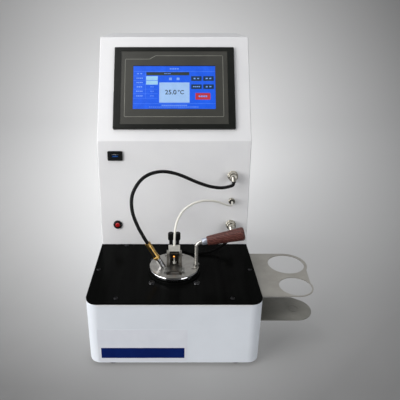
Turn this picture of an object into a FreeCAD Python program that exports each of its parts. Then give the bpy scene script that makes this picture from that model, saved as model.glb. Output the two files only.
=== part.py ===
"""Closed-cup flash point tester: a parametric document that writes one STEP file for each piece.

Lengths are millimetres. Places are given from three datums: u to the right of the body's centre
plane, v behind its front face and w above the floor. The origin of the written parts is the middle
of the footprint, on the floor, with +Z up and +Y towards the back.
"""
import FreeCAD, Part
import Sketcher
import math
import os

os.makedirs("parts", exist_ok=True)
doc = FreeCAD.newDocument("flash_point_tester")

SIZES = {
    # housing
    "body_width": 285.0,
    "plate_depth": 196.0,
    "lower_lean": 17.0,
    "lower_rise": 204.5,
    "upper_lean": 114.5,
    "upper_rise": 174.5,
    "top_depth": 178.5,
    "foot_height": 8.0,
    "base_height": 118.5,
    "sheet": 1.5,
    "plate_thick": 3.0,
    "corner_radius": 20.0,
    "bend_radius": 3.0,
    "plate_edge": 0.6,
    "fit_gap": 0.15,
    "running_gap": 0.05,
    "overrun": 2.0,
    "rear_reach": 2.5,
    # feet and fasteners
    "foot_radius": 12.0,
    "foot_top_radius": 10.0,
    "foot_inset_u": 38.5,
    "foot_inset_v": 17.0,
    "small_head_radius": 3.5,
    "small_head_height": 1.8,
    "small_hex": 1.3,
    "large_head_radius": 5.0,
    "large_head_height": 2.2,
    "large_hex": 1.9,
    "hex_depth": 1.2,
    "screw_shank": 1.9,
    "plate_screw_inset": 49.0,
    "plate_screw_edge": 13.0,
    "plate_screw_back": 7.0,
    "side_screw_inset": 8.0,
    "side_screw_v": 100.0,
    "bath_screw_step": 38.0,
    # bath, cup and lid
    "lid_v": 96.5,
    "seat_height": 6.5,
    "seat_radius": 40.5,
    "seat_clearance": 0.5,
    "ring_radius": 45.8,
    "ring_height": 3.5,
    "bath_flange_radius": 60.0,
    "bath_flange_thick": 6.0,
    "bath_radius": 44.0,
    "bath_depth": 60.0,
    "bath_floor": 10.0,
    "cup_gap": 0.6,
    "cup_inner_radius": 25.4,
    "cup_wall": 2.1,
    "cup_depth": 55.9,
    "cup_flange_radius": 40.0,
    "cup_flange_thick": 3.0,
    "heater_thick": 4.5,
    "heater_height": 34.0,
    "heater_drop": 16.0,
    "insulation_thick": 9.0,
    "insulation_base": 2.0,
    "lid_radius": 43.65,
    "lid_lip": 0.7,
    "lid_thick": 2.5,
    "lid_skirt": 4.4,
    "lid_skirt_wall": 2.5,
    "lid_lip_drop": 0.4,
    # openings in the lid
    "port_half": 4.0,
    "port_front": 91.0,
    "port_back": 101.6,
    "window_v": 66.9,
    "window_half": 10.5,
    "window_width": 3.2,
    "window_end_radius": 3.0,
    "key_slot_u": 34.2,
    "key_slot_v": 83.6,
    "key_slot_length": 9.5,
    "key_slot_width": 2.2,
    # shutter and its rails
    "shutter_half": 8.2,
    "shutter_thick": 1.2,
    "shutter_front": 74.0,
    "shutter_back": 103.2,
    "shutter_ear": 5.0,
    "rail_width": 3.4,
    "rail_lip": 1.0,
    "rail_front": 70.0,
    "rail_back": 87.0,
    "rail_lip_thick": 1.3,
    "rail_gap": 0.3,
    "lid_screw_u": 15.6,
    "lid_screw_front": 76.0,
    "lid_screw_back": 83.5,
    "rail_foot": 6.4,
    "rail_foot_thick": 1.2,
    "lid_head_radius": 1.9,
    "lid_head_height": 1.2,
    # igniter
    "cheek_inner": 8.6,
    "cheek_width": 4.6,
    "cheek_front": 89.5,
    "cheek_back": 113.0,
    "cheek_rear_height": 22.0,
    "cheek_front_height": 9.0,
    "cheek_round": 4.0,
    "post_inset": 0.3,
    "post_width": 1.7,
    "cap_half": 9.15,
    "cap_front": 99.0,
    "cap_back": 104.8,
    "cap_low": 25.6,
    "cap_high": 35.8,
    "cap_round": 1.6,
    "arm_half": 7.7,
    "arm_front": 94.5,
    "arm_back": 106.5,
    "arm_low": 4.5,
    "arm_high": 24.2,
    "arm_round": 2.0,
    "arch_radius": 3.9,
    "arch_height": 10.0,
    "arch_depth": 6.5,
    "eye_radius": 3.6,
    "eye_depth": 6.5,
    "eye_height": 16.0,
    "pivot_v": 109.0,
    "pivot_height": 12.0,
    "ear_width": 3.0,
    "ear_radius": 3.4,
    "pin_radius": 1.25,
    "pin_reach": 3.2,
    "pin_head_radius": 2.3,
    "pin_head_thick": 1.4,
    "coil_radius": 1.5,
    "coil_wire": 0.55,
    "coil_turns": 4.0,
    "coil_span_share": 25 / 36,
    "nozzle_v": 95.4,
    "nozzle_top_radius": 1.2,
    "nozzle_radius": 2.75,
    "nozzle_low": 3.4,
    "nozzle_cone": 6.5,
    "nozzle_tip": 1.3,
    "terminal_back": 113.0,
    "terminal_low": 25.6,
    "terminal_high": 33.0,
    "terminal_half": 10.0,
    "knob_u": 5.7,
    "knob_v": 109.2,
    "knob_neck_radius": 3.1,
    "knob_neck_height": 11.0,
    "knob_head_radius": 5.2,
    "knob_head_height": 13.2,
    "knob_edge": 1.3,
    "knob_shoulder": 1.6,
    "stud_radius": 1.6,
    "stud_reach": 14.0,
    "gland_radius": 4.2,
    "gland_length": 7.0,
    "gland_height": 16.5,
    # handle
    "handle_u": 38.5,
    "handle_v": 97.5,
    "handle_rise": 43.3,
    "handle_slope": 12.7,
    "rod_radius": 3.2,
    "handle_bend": 10.0,
    "rod_nut_radius": 4.9,
    "rod_nut_height": 2.2,
    "ferrule_start": 10.0,
    "ferrule_length": 8.5,
    "ferrule_radius": 5.8,
    "ferrule_edge": 0.8,
    "grip_length": 65.0,
    "grip_small_radius": 8.1,
    "grip_big_radius": 11.7,
    "grip_end_round": 3.6,
    "tang_length": 55.0,
    # probe
    "probe_u": 20.6,
    "probe_v": 92.0,
    "probe_lean": 29.0,
    "socket_radius": 5.3,
    "socket_length": 18.0,
    "socket_sunk": 2.2,
    "sleeve_radius": 4.9,
    "sleeve_length": 34.0,
    "collar_radius": 5.8,
    "collar_length": 5.0,
    "collar_edge": 0.7,
    "sleeve_slot": 3.0,
    "sleeve_slot_length": 21.0,
    "sleeve_slot_depth": 3.2,
    "stem_radius": 2.1,
    "stem_length": 42.0,
    "probe_cable_radius": 3.0,
    # operator panel
    "panel_width": 226.5,
    "panel_height": 163.0,
    "panel_up": 103.4,
    "panel_proud": 6.0,
    "panel_side_rim": 12.9,
    "panel_end_rim": 8.7,
    "panel_recess": 0.9,
    "panel_bevel": 1.2,
    "panel_corner": 2.2,
    "overlay_thick": 0.8,
    "screen_width": 154.0,
    "screen_height": 86.0,
    "screen_thick": 0.6,
    "panel_box_width": 214.0,
    "panel_box_height": 149.0,
    "panel_box_depth": 34.0,
    "panel_cut_gap": 0.8,
    # fittings on the lower face
    "fitting_inset": 32.7,
    "dataport_up": 177.8,
    "dataport_width": 27.5,
    "dataport_height": 18.0,
    "dataport_proud": 2.6,
    "dataport_corner": 2.0,
    "dataport_body_depth": 22.0,
    "dataport_slot_width": 13.2,
    "dataport_slot_height": 6.2,
    "dataport_slot_depth": 12.0,
    "tongue_width": 11.0,
    "tongue_height": 1.9,
    "tongue_drop": 1.1,
    "lamp_up": 41.5,
    "lamp_radius": 8.4,
    "lamp_proud": 3.4,
    "lens_radius": 4.7,
    "lens_proud": 2.4,
    "lamp_body_radius": 5.9,
    "lamp_body_depth": 24.0,
    "sensor_up": 139.6,
    "igniter_up": 41.5,
    "flange_radius": 9.7,
    "flange_thick": 3.2,
    "flange_edge": 0.9,
    "barrel_radius": 7.0,
    "barrel_length": 13.0,
    "barrel_back": 14.0,
    "nut_radius": 8.6,
    "nut_length": 8.5,
    "nut_gap": 0.4,
    "nut_edge": 0.8,
    "plug_radius": 6.4,
    "plug_length": 6.0,
    "plug_dome": 2.6,
    "boot_radius": 4.6,
    "boot_end_radius": 3.8,
    "boot_length": 9.0,
    "boot_slope": 58.0,
    "boot_sunk": 3.2,
    "boot_grip": 5.0,
    "igniter_boot_radius": 6.2,
    "igniter_boot_end": 4.6,
    "igniter_boot_length": 14.0,
    "igniter_cable_radius": 2.5,
    "gas_up": 90.0,
    "gas_fit_radius": 6.2,
    "gas_fit_length": 6.0,
    "gas_fit_edge": 0.7,
    "gas_back": 15.0,
    "gas_back_radius": 4.8,
    "collet_radius": 4.3,
    "collet_bore": 2.15,
    "collet_proud": 2.2,
    "collet_travel": 1.0,
    "collet_seat": 5.0,
    "gas_tube_radius": 2.0,
    # side shelf
    "shelf_drop": 12.0,
    "shelf_thick": 1.5,
    "shelf_hole_out": 66.1,
    "rear_hole_v": 140.1,
    "rear_hole_radius": 33.0,
    "rear_lobe_margin": 5.5,
    "front_hole_v": 66.7,
    "front_hole_radius": 27.7,
    "front_lobe_margin": 2.3,
    "neck_rear_angle": 32.0,
    "neck_front_angle": 18.0,
    "tray_drop": 59.0,
    "tray_radius": 31.2,
    "tray_back_reach": 34.5,
    "tray_back_run": 4.4,
    "tray_corner_angle": 45.0,
    "dimple_radius": 9.0,
    "dimple_wall": 1.2,
    "dimple_sink": 0.5,
    "shelf_screw_v": 22.0,
    "shelf_screw_up": 20.0,
    # back panel
    "inlet_inset": 46.5,
    "inlet_w": 58.0,
    "inlet_width": 50.0,
    "inlet_height": 28.0,
    "inlet_cut_width": 30.0,
    "inlet_cut_height": 22.0,
    "inlet_depth": 20.0,
    "inlet_well_width": 24.6,
    "inlet_well_height": 16.6,
    "inlet_well_depth": 16.0,
    "inlet_pin_radius": 1.4,
    "inlet_pin_step": 7.0,
    "inlet_pin_length": 12.0,
    "switch_w": 100.0,
    "switch_width": 31.0,
    "switch_height": 25.0,
    "switch_depth": 20.0,
    "rocker_width": 22.0,
    "rocker_height": 16.0,
    "rocker_gap": 0.8,
    "rocker_sink": 8.0,
    "fan_inset": 80.5,
    "fan_w": 72.0,
    "fan_side": 80.0,
    "fan_depth": 25.0,
    "fan_bore": 38.0,
    "fan_hub": 15.0,
    "fan_blade_reach": 35.5,
    "fan_blade_thick": 1.6,
    "fan_blade_chord": 17.0,
    "fan_boss": 12.0,
    "fan_strut": 4.0,
    "fan_web": 3.0,
    "fan_pitch": 32.0,
    "guard_slot": 4.0,
    "guard_pitch": 8.0,
    "vent_w": 400.0,
    "vent_length": 120.0,
    "vent_height": 4.0,
    "vent_pitch": 10.0,
    "rear_screw_inset": 10.0,
    # things inside
    "supply_width": 97.0,
    "supply_length": 159.0,
    "supply_height": 38.0,
    "supply_v": 250.0,
    "supply_u": 15.0,
    "board_width": 110.0,
    "board_length": 150.0,
    "board_thick": 1.6,
    "board_u": 60.0,
    "board_v": 325.0,
    "standoff_height": 10.0,
    "standoff_radius": 3.0,
    "standoff_inset": 6.0,
}

COUNTS = {
    "guard_slots": 9,
    "vent_slots": 6,
    "fan_blades": 7,
    "board_chips": 3,
}

sheet = doc.addObject("Spreadsheet::Sheet", "Sizes")
for row, (alias, number) in enumerate(SIZES.items(), start=1):
    sheet.set("A%d" % row, alias)
    sheet.set("B%d" % row, str(number))
    sheet.setAlias("B%d" % row, alias)
doc.recompute()


class Size:
    """A value worked out from the sheet: its number, and the formula that properties are bound to."""

    def __init__(self, formula, value):
        self.formula = formula
        self.value = value

    def __add__(self, other):
        return joined(self, "+", other, value_of(self) + value_of(other))

    def __radd__(self, other):
        return joined(other, "+", self, value_of(other) + value_of(self))

    def __sub__(self, other):
        return joined(self, "-", other, value_of(self) - value_of(other))

    def __rsub__(self, other):
        return joined(other, "-", self, value_of(other) - value_of(self))

    def __mul__(self, other):
        return joined(self, "*", other, value_of(self) * value_of(other))

    def __rmul__(self, other):
        return joined(other, "*", self, value_of(other) * value_of(self))

    def __truediv__(self, other):
        return joined(self, "/", other, value_of(self) / value_of(other))

    def __neg__(self):
        return joined(0, "-", self, -self.value)


def value_of(size):
    return size.value if isinstance(size, Size) else float(size)


def formula_of(size):
    return size.formula if isinstance(size, Size) else repr(float(size))


def joined(first, sign, second, value):
    return Size("(%s %s %s)" % (formula_of(first), sign, formula_of(second)), value)


def root(square):
    return Size("sqrt(%s)" % formula_of(square), math.sqrt(value_of(square)))


def sine(angle):
    return Size("sin(%s)" % formula_of(angle), math.sin(math.radians(value_of(angle))))


def cosine(angle):
    return Size("cos(%s)" % formula_of(angle), math.cos(math.radians(value_of(angle))))


class Names:
    """Every alias of the sheet as an attribute."""

    def __getattr__(self, alias):
        return Size("Sizes." + alias, SIZES[alias])


s = Names()

# Levels and planes that several pieces share
nothing = 0 * s.sheet
half = s.body_width / 2
fitting_u = half - s.fitting_inset
shelf_hole_u = half + s.shelf_hole_out
inlet_u = half - s.inlet_inset
fan_u = s.fan_inset - half
plate_top = s.foot_height + s.base_height
plate_low = plate_top - s.plate_thick
bend_v = s.plate_depth + s.lower_lean
bend_w = plate_top + s.lower_rise
ridge_v = bend_v + s.upper_lean
ridge_w = bend_w + s.upper_rise
rear_v = ridge_v + s.top_depth
floor_w = s.foot_height + s.sheet
seat_w = plate_top + s.seat_height
cup_top = seat_w + s.cup_flange_thick
lid_top = cup_top + s.lid_thick
lower_length = root(s.lower_lean * s.lower_lean + s.lower_rise * s.lower_rise)
upper_length = root(s.upper_lean * s.upper_lean + s.upper_rise * s.upper_rise)
lower_slope = math.degrees(math.atan2(SIZES["lower_lean"], SIZES["lower_rise"]))
upper_slope = math.degrees(math.atan2(SIZES["upper_lean"], SIZES["upper_rise"]))
rear_lobe_radius = s.rear_hole_radius + s.rear_lobe_margin
front_lobe_radius = s.front_hole_radius + s.front_lobe_margin
origin_u = (shelf_hole_u + rear_lobe_radius - half) / 2
origin_v = (rear_v + s.rear_reach) / 2

NEARLY = 1e-6
UPRIGHT = FreeCAD.Rotation()
TO_RIGHT = FreeCAD.Rotation(FreeCAD.Vector(0, 1, 0), 90)
TO_BACK = FreeCAD.Rotation(FreeCAD.Vector(1, 0, 0), -90)
TO_FRONT = FreeCAD.Rotation(FreeCAD.Vector(1, 0, 0), 90)
LOWER_FACE = FreeCAD.Rotation(FreeCAD.Vector(1, 0, 0), 90 - lower_slope)
UPPER_FACE = FreeCAD.Rotation(FreeCAD.Vector(1, 0, 0), 90 - upper_slope)


def bind(item, prop, size):
    """Tie a property to the sheet."""
    item.setExpression(prop, size.formula)


def place(item, at, turn=UPRIGHT):
    """Stand a piece at (u, v, w), turned."""
    item.Placement = FreeCAD.Placement(FreeCAD.Vector(0, 0, 0), turn)
    u, v, w = at
    bind(item, "Placement.Base.x", u - origin_u)
    bind(item, "Placement.Base.y", v - origin_v)
    bind(item, "Placement.Base.z", w + nothing)
    return item


def point(u, v, w):
    """The vector of a place, for shapes that are set from the sheet's values."""
    return FreeCAD.Vector(value_of(u - origin_u), value_of(v - origin_v), value_of(w))


def on_lower_face(across, up, out=0):
    """A place on the tower's lower face, measured up the face and out from it."""
    ahead = s.lower_rise / lower_length
    lift = s.lower_lean / lower_length
    return (across, s.plate_depth + up * lift - out * ahead, plate_top + up * ahead + out * lift)


def on_upper_face(across, up, out=0):
    """A place on the tower's upper face, measured up the face from the bend and out from it."""
    ahead = s.upper_rise / upper_length
    lift = s.upper_lean / upper_length
    return (across, bend_v + up * lift - out * ahead, bend_w + up * ahead + out * lift)


def block(name, us, vs, ws):
    """A box between two planes each way."""
    item = doc.addObject("Part::Box", name)
    for prop, (low, high) in zip(("Length", "Width", "Height"), (us, vs, ws)):
        bind(item, prop, high - low)
    return place(item, (us[0], vs[0], ws[0]))


def turned_box(name, sizes, at, turn):
    """A box whose base is centred on a place, with its height along the turned axis."""
    item = doc.addObject("Part::Box", name)
    width, depth, height = sizes
    for prop, size in zip(("Length", "Width", "Height"), sizes):
        bind(item, prop, size)
    shift = turn.multVec(FreeCAD.Vector(1, 0, 0)), turn.multVec(FreeCAD.Vector(0, 1, 0))
    corner = [
        at[k] - width / 2 * tidy(shift[0][k]) - depth / 2 * tidy(shift[1][k])
        for k in range(3)
    ]
    return place(item, corner, turn)


def tidy(number):
    """A direction's component without rounding dust."""
    return 0.0 if abs(number) < 1e-12 else number


def cylinder(name, radius, length, at, turn=UPRIGHT):
    item = doc.addObject("Part::Cylinder", name)
    bind(item, "Radius", radius)
    bind(item, "Height", length)
    return place(item, at, turn)


def boolean(kind, name, base, tool):
    item = doc.addObject("Part::" + kind, name)
    item.Base = base
    item.Tool = tool
    return item


def cut(name, base, *tools):
    """The base with every tool taken away."""
    tool = tools[0] if len(tools) == 1 else union(name + "_tools", *tools)
    return boolean("Cut", name, base, tool)


def union(name, *items):
    item = doc.addObject("Part::MultiFuse", name)
    item.Shapes = list(items)
    return item


def group(name, items):
    """Several separate solids that share one node."""
    item = doc.addObject("Part::Compound", name)
    item.Links = list(items)
    return item


def datum(body, role):
    return [plane for plane in body.Origin.OriginFeatures if plane.Role == role][0]


def hold(sketch, line, kind, axis, size):
    """Keep a corner at its distance from the sketch's origin."""
    if isinstance(size, Size):
        number = sketch.addConstraint(Sketcher.Constraint(kind, -1, 1, line, 1, size.value))
        sketch.setExpression("Constraints[%d]" % number, size.formula)
    else:
        sketch.addConstraint(Sketcher.Constraint("PointOnObject", line, 1, axis))


def outline(body, role, corners):
    """A closed outline of straight lines on one of the body's own planes."""
    sketch = body.newObject("Sketcher::SketchObject", body.Name + "_outline")
    sketch.AttachmentSupport = [(datum(body, role), "")]
    sketch.MapMode = "FlatFace"
    places = [FreeCAD.Vector(value_of(a), value_of(b), 0) for a, b in corners]
    for line, start in enumerate(places):
        sketch.addGeometry(Part.LineSegment(start, places[(line + 1) % len(places)]), False)
    for line in range(len(places)):
        sketch.addConstraint(Sketcher.Constraint("Coincident", line, 2, (line + 1) % len(places), 1))
    for line, (a, b) in enumerate(corners):
        hold(sketch, line, "DistanceX", -2, a)
        hold(sketch, line, "DistanceY", -1, b)
    return sketch


def padded(name, role, corners, length, at, turn=UPRIGHT):
    """A body extruded from an outline along its plane's normal."""
    body = doc.addObject("PartDesign::Body", name)
    sketch = outline(body, role, corners)
    pad = body.newObject("PartDesign::Pad", name + "_pad")
    pad.Profile = sketch
    bind(pad, "Length", length)
    sketch.Visibility = False
    return place(body, at, turn)


def revolved(name, corners, at, turn=UPRIGHT):
    """A body turned about its own upright axis from an outline of (radius, height) corners."""
    body = doc.addObject("PartDesign::Body", name)
    sketch = outline(body, "XZ_Plane", corners)
    revolution = body.newObject("PartDesign::Revolution", name + "_turning")
    revolution.Profile = sketch
    revolution.ReferenceAxis = (sketch, ["V_Axis"])
    revolution.Angle = 360
    sketch.Visibility = False
    return place(body, at, turn)


def ring(name, inner, outer, low, high, at, turn=UPRIGHT):
    return revolved(name, [(inner, low), (outer, low), (outer, high), (inner, high)], at, turn)


def rounded(body, radius, chosen):
    """Round the edges of a body that a test chooses."""
    doc.recompute()
    tip = body.Tip
    names = ["Edge%d" % (k + 1) for k, edge in enumerate(tip.Shape.Edges) if chosen(edge)]
    fillet = body.newObject("PartDesign::Fillet", body.Name + "_rounding")
    fillet.Base = (tip, names)
    bind(fillet, "Radius", radius)
    body.Tip = fillet
    return body


def along(axis, test=None):
    """A test for straight edges along an axis, 0, 1 or 2, whose middle passes a second test."""
    def chosen(edge):
        if not isinstance(edge.Curve, Part.Line):
            return False
        way = edge.Curve.Direction
        if abs(abs(way[axis]) - 1) > NEARLY:
            return False
        return test is None or test(edge.BoundBox.Center)
    return chosen


def rectangle(us, vs):
    return [(us[0], vs[0]), (us[1], vs[0]), (us[1], vs[1]), (us[0], vs[1])]


def tray(name, wall, back, low, high, radius):
    """A plan rectangle with its two front corners rounded, set in from the housing by a wall."""
    corners = rectangle((-half + wall, half - wall), (wall, back))
    body = padded(name, "XY_Plane", corners, high - low, (0, 0, low))
    front = value_of(wall) + value_of(s.sheet)
    return rounded(body, radius, along(2, lambda middle: middle.y < front))


def screw(name, at, head_radius, head_height, hexagon=None, turn=UPRIGHT, shank=None):
    """A low round head on its seat, with a hexagon socket and a shank where they are given."""
    edge = head_height / 2
    foot = [(0, 0), (head_radius, 0)]
    if shank is not None:
        foot = [(0, -shank), (s.screw_shank, -shank), (s.screw_shank, 0), (head_radius, 0)]
    head = [(head_radius, edge), (head_radius - edge, head_height), (0, head_height)]
    turned = revolved(name + "_turned" if hexagon else name, foot + head, at, turn)
    if hexagon is None:
        return turned
    corners = []
    for k in range(6):
        angle = math.radians(60 * k + 30)
        across, up = tidy(round(2 * math.cos(angle), 6)), tidy(round(2 * math.sin(angle), 6))
        corners.append((hexagon * across if across else 0, hexagon * up if up else 0))
    out = turn.multVec(FreeCAD.Vector(0, 0, 1))
    top = [at[k] + (head_height - s.hex_depth) * tidy(out[k]) for k in range(3)]
    socket = padded(name + "_socket", "XY_Plane", corners, s.hex_depth + s.overrun, top, turn)
    return cut(name, turned, socket)


def base_shell():
    """The wrap of the base: a front and two sides with rounded front corners, open behind."""
    outer = tray("base_shell_outer", 0, rear_v - s.sheet, s.foot_height, plate_top, s.corner_radius)
    inner = tray(
        "base_shell_inner", s.sheet, rear_v + s.overrun, s.foot_height - s.overrun,
        plate_top + s.overrun, s.corner_radius - s.sheet,
    )
    seat = block(
        "base_shell_seat", (-half - s.overrun, half + s.overrun), (-s.overrun, s.plate_depth + s.sheet),
        (plate_low, plate_top + s.overrun),
    )
    cut("base_shell", outer, inner, seat)


def bottom_plate():
    """The floor of the base, between the shell's walls, with the board's pressed-in standoffs."""
    floor = tray(
        "bottom_plate_sheet", s.sheet + s.fit_gap, rear_v - s.sheet, s.foot_height, floor_w,
        s.corner_radius - s.sheet - s.fit_gap,
    )
    us, vs = board_spans()
    standoffs = []
    for u in (us[0] + s.standoff_inset, us[1] - s.standoff_inset):
        for v in (vs[0] + s.standoff_inset, vs[1] - s.standoff_inset):
            name = "board_standoff_%d" % len(standoffs)
            standoffs.append(cylinder(name, s.standoff_radius, s.standoff_height, (u, v, floor_w)))
    union("bottom_plate", floor, *standoffs)


def feet():
    """Four rubber feet under the base."""
    items = []
    for side in (-1, 1):
        for v in (s.foot_inset_v, rear_v - s.foot_inset_v):
            place_ = (side * (half - s.foot_inset_u), v, 0)
            items.append(revolved("foot_%d" % len(items), [
                (0, 0), (s.foot_top_radius, 0), (s.foot_radius, s.foot_height), (0, s.foot_height)
            ], place_))
    group("feet", items)


def plate_screw_places():
    """Six small screws along the edges of the top plate."""
    places = []
    for side in (-1, 1):
        across = side * (half - s.plate_screw_inset)
        places.append((across, s.plate_screw_edge, plate_top))
        places.append((across, s.plate_depth - s.plate_screw_back, plate_top))
        places.append((side * (half - s.side_screw_inset), s.side_screw_v, plate_top))
    return places


def bath_screw_places():
    """Four larger screws around the lid, which hold the bath's flange."""
    return [
        (side * s.bath_screw_step, s.lid_v + end * s.bath_screw_step, plate_top)
        for side in (-1, 1)
        for end in (-1, 1)
    ]


def top_plate():
    """The black deck in front of the tower, with the bath's opening and its screw holes."""
    deck = tray("top_plate_deck", 0, s.plate_depth + s.sheet, plate_low, plate_top, s.corner_radius)
    last = value_of(s.plate_depth + s.sheet)

    def upper_rim(edge):
        middle = edge.BoundBox
        flat = middle.ZLength < NEARLY and abs(middle.ZMax - value_of(s.plate_thick)) < NEARLY
        return flat and middle.Center.y < last - NEARLY

    rounded(deck, s.plate_edge, upper_rim)
    below = plate_low - s.overrun
    depth = s.plate_thick + 2 * s.overrun
    opening = s.seat_radius + s.seat_clearance
    tools = [cylinder("top_plate_opening", opening, depth, (0, s.lid_v, below))]
    for k, (u, v, w) in enumerate(plate_screw_places() + bath_screw_places()):
        tools.append(cylinder("top_plate_hole_%d" % k, s.screw_shank + s.fit_gap, depth, (u, v, below)))
    cut("top_plate", deck, *tools)


def plate_screws():
    items = []
    for k, place_ in enumerate(plate_screw_places()):
        items.append(screw(
            "plate_screw_%d" % k, place_, s.small_head_radius, s.small_head_height, s.small_hex,
            shank=s.plate_thick,
        ))
    for k, place_ in enumerate(bath_screw_places()):
        items.append(screw(
            "bath_screw_%d" % k, place_, s.large_head_radius, s.large_head_height, s.large_hex,
            shank=s.plate_thick,
        ))
    group("plate_screws", items)


def bath():
    """The seat ring on the deck, and the heated block that hangs under it with its jackets."""
    axis = (0, s.lid_v, plate_top)
    inner = s.seat_radius + s.seat_clearance
    edge = s.ring_height / 4
    revolved("seat_ring", [
        (inner, 0), (s.ring_radius, 0), (s.ring_radius, s.ring_height - edge),
        (s.ring_radius - edge, s.ring_height), (inner, s.ring_height),
    ], axis)
    bore = s.cup_inner_radius + s.cup_wall + s.cup_gap
    flange_low = -s.plate_thick - s.bath_flange_thick
    revolved("bath_block", [
        (bore, s.seat_height),
        (s.seat_radius, s.seat_height),
        (s.seat_radius, -s.plate_thick),
        (s.bath_flange_radius, -s.plate_thick),
        (s.bath_flange_radius, flange_low),
        (s.bath_radius, flange_low),
        (s.bath_radius, -s.bath_depth),
        (0, -s.bath_depth),
        (0, s.bath_floor - s.bath_depth),
        (bore, s.bath_floor - s.bath_depth),
    ], axis)
    heater_outer = s.bath_radius + s.heater_thick
    high = -s.heater_drop
    ring("band_heater", s.bath_radius, heater_outer, high - s.heater_height, high, axis)
    ring(
        "bath_insulation", heater_outer + s.fit_gap, heater_outer + s.fit_gap + s.insulation_thick,
        s.insulation_base - s.bath_depth, flange_low, axis,
    )


def test_cup():
    """The brass cup that hangs by its flange in the bath."""
    outer = s.cup_inner_radius + s.cup_wall
    floor = s.cup_flange_thick - s.cup_depth
    revolved("test_cup", [
        (s.cup_inner_radius, s.cup_flange_thick),
        (s.cup_flange_radius, s.cup_flange_thick),
        (s.cup_flange_radius, 0),
        (outer, 0),
        (outer, floor - s.cup_wall),
        (0, floor - s.cup_wall),
        (0, floor),
        (s.cup_inner_radius, floor),
    ], (0, s.lid_v, seat_w))


def probe_turn():
    """The probe's axis, which leans to the left as it rises."""
    return FreeCAD.Rotation(FreeCAD.Vector(0, 1, 0), -SIZES["probe_lean"])


def probe_place(along_axis):
    """A place on the probe's axis, measured up from the lid's top."""
    return (
        -s.probe_u - along_axis * sine(s.probe_lean),
        s.probe_v,
        lid_top + along_axis * cosine(s.probe_lean),
    )


def lid():
    """The round lid with its openings, and the polished rim that drops over the cup's flange."""
    body = s.lid_radius - s.lid_lip
    disc = cylinder("lid_disc", body, s.lid_thick, (0, s.lid_v, cup_top))
    low, deep = cup_top - s.overrun, s.lid_thick + 2 * s.overrun
    port = block("lid_port", (-s.port_half, s.port_half), (s.port_front, s.port_back), (low, low + deep))
    bar = block(
        "lid_window_bar", (-s.window_half, s.window_half),
        (s.window_v - s.window_width / 2, s.window_v + s.window_width / 2), (low, low + deep),
    )
    ends = [
        cylinder("lid_window_end_%d" % k, s.window_end_radius, deep, (side * s.window_half, s.window_v, low))
        for k, side in enumerate((-1, 1))
    ]
    key = block(
        "lid_key_slot", (s.key_slot_u - s.key_slot_length / 2, s.key_slot_u + s.key_slot_length / 2),
        (s.key_slot_v - s.key_slot_width / 2, s.key_slot_v + s.key_slot_width / 2), (low, low + deep),
    )
    reach = s.lid_thick * 3
    width = s.socket_radius + s.fit_gap
    bore = cylinder("lid_probe_bore", width, 2 * reach, probe_place(-reach), probe_turn())
    rod = cylinder("lid_rod_bore", s.rod_radius + s.fit_gap, deep, (s.handle_u, s.handle_v, low))
    cut("lid_plate", disc, port, bar, *ends, key, bore, rod)
    inner = s.lid_radius - s.lid_skirt_wall
    lip = s.lid_thick - s.lid_lip_drop
    revolved("lid_rim", [
        (inner, -s.lid_skirt),
        (s.lid_radius, -s.lid_skirt),
        (s.lid_radius, lip),
        (body + s.fit_gap / 3, lip),
        (body + s.fit_gap / 3, 0),
        (inner, 0),
    ], (0, s.lid_v, cup_top))


def shutter():
    """The sliding shutter over the lid's port, and the two rails that guide it."""
    low = lid_top + s.rail_gap
    plate = block(
        "shutter_plate", (-s.shutter_half, s.shutter_half), (s.shutter_front, s.shutter_back),
        (low, low + s.shutter_thick),
    )
    ear = block(
        "shutter_ear", (-s.shutter_ear / 2, s.shutter_ear / 2),
        (s.shutter_front, s.shutter_front + s.rail_lip),
        (low + s.shutter_thick, low + 2 * s.shutter_thick),
    )
    union("shutter_slide", plate, ear)
    items = []
    for side in (-1, 1):
        wall_in = s.shutter_half + s.rail_gap
        wall_out = wall_in + s.rail_width
        high = low + s.shutter_thick + s.rail_gap
        spans = (
            (wall_in, wall_out, lid_top, high),
            (s.shutter_half - s.rail_lip, wall_out, high, high + s.rail_lip_thick),
            (wall_out, wall_out + s.rail_foot, lid_top, lid_top + s.rail_foot_thick),
        )
        pieces = []
        for k, (near, far, bottom, top) in enumerate(spans):
            us = (near, far) if side > 0 else (-far, -near)
            pieces.append(block("rail_%d_%d" % (side + 1, k), us, (s.rail_front, s.rail_back), (bottom, top)))
        items.append(union("rail_%d" % (side + 1), *pieces))
    group("shutter_rails", items)


def lid_fasteners():
    """The rails' four screws and the nut at the handle's foot."""
    items = [ring(
        "handle_nut", s.rod_radius + s.fit_gap, s.rod_nut_radius, 0, s.rod_nut_height,
        (s.handle_u, s.handle_v, lid_top),
    )]
    for side in (-1, 1):
        for v in (s.lid_screw_front, s.lid_screw_back):
            items.append(screw(
                "lid_screw_%d" % len(items), (side * s.lid_screw_u, v, lid_top + s.rail_foot_thick),
                s.lid_head_radius, s.lid_head_height,
            ))
    group("lid_fasteners", items)


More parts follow.
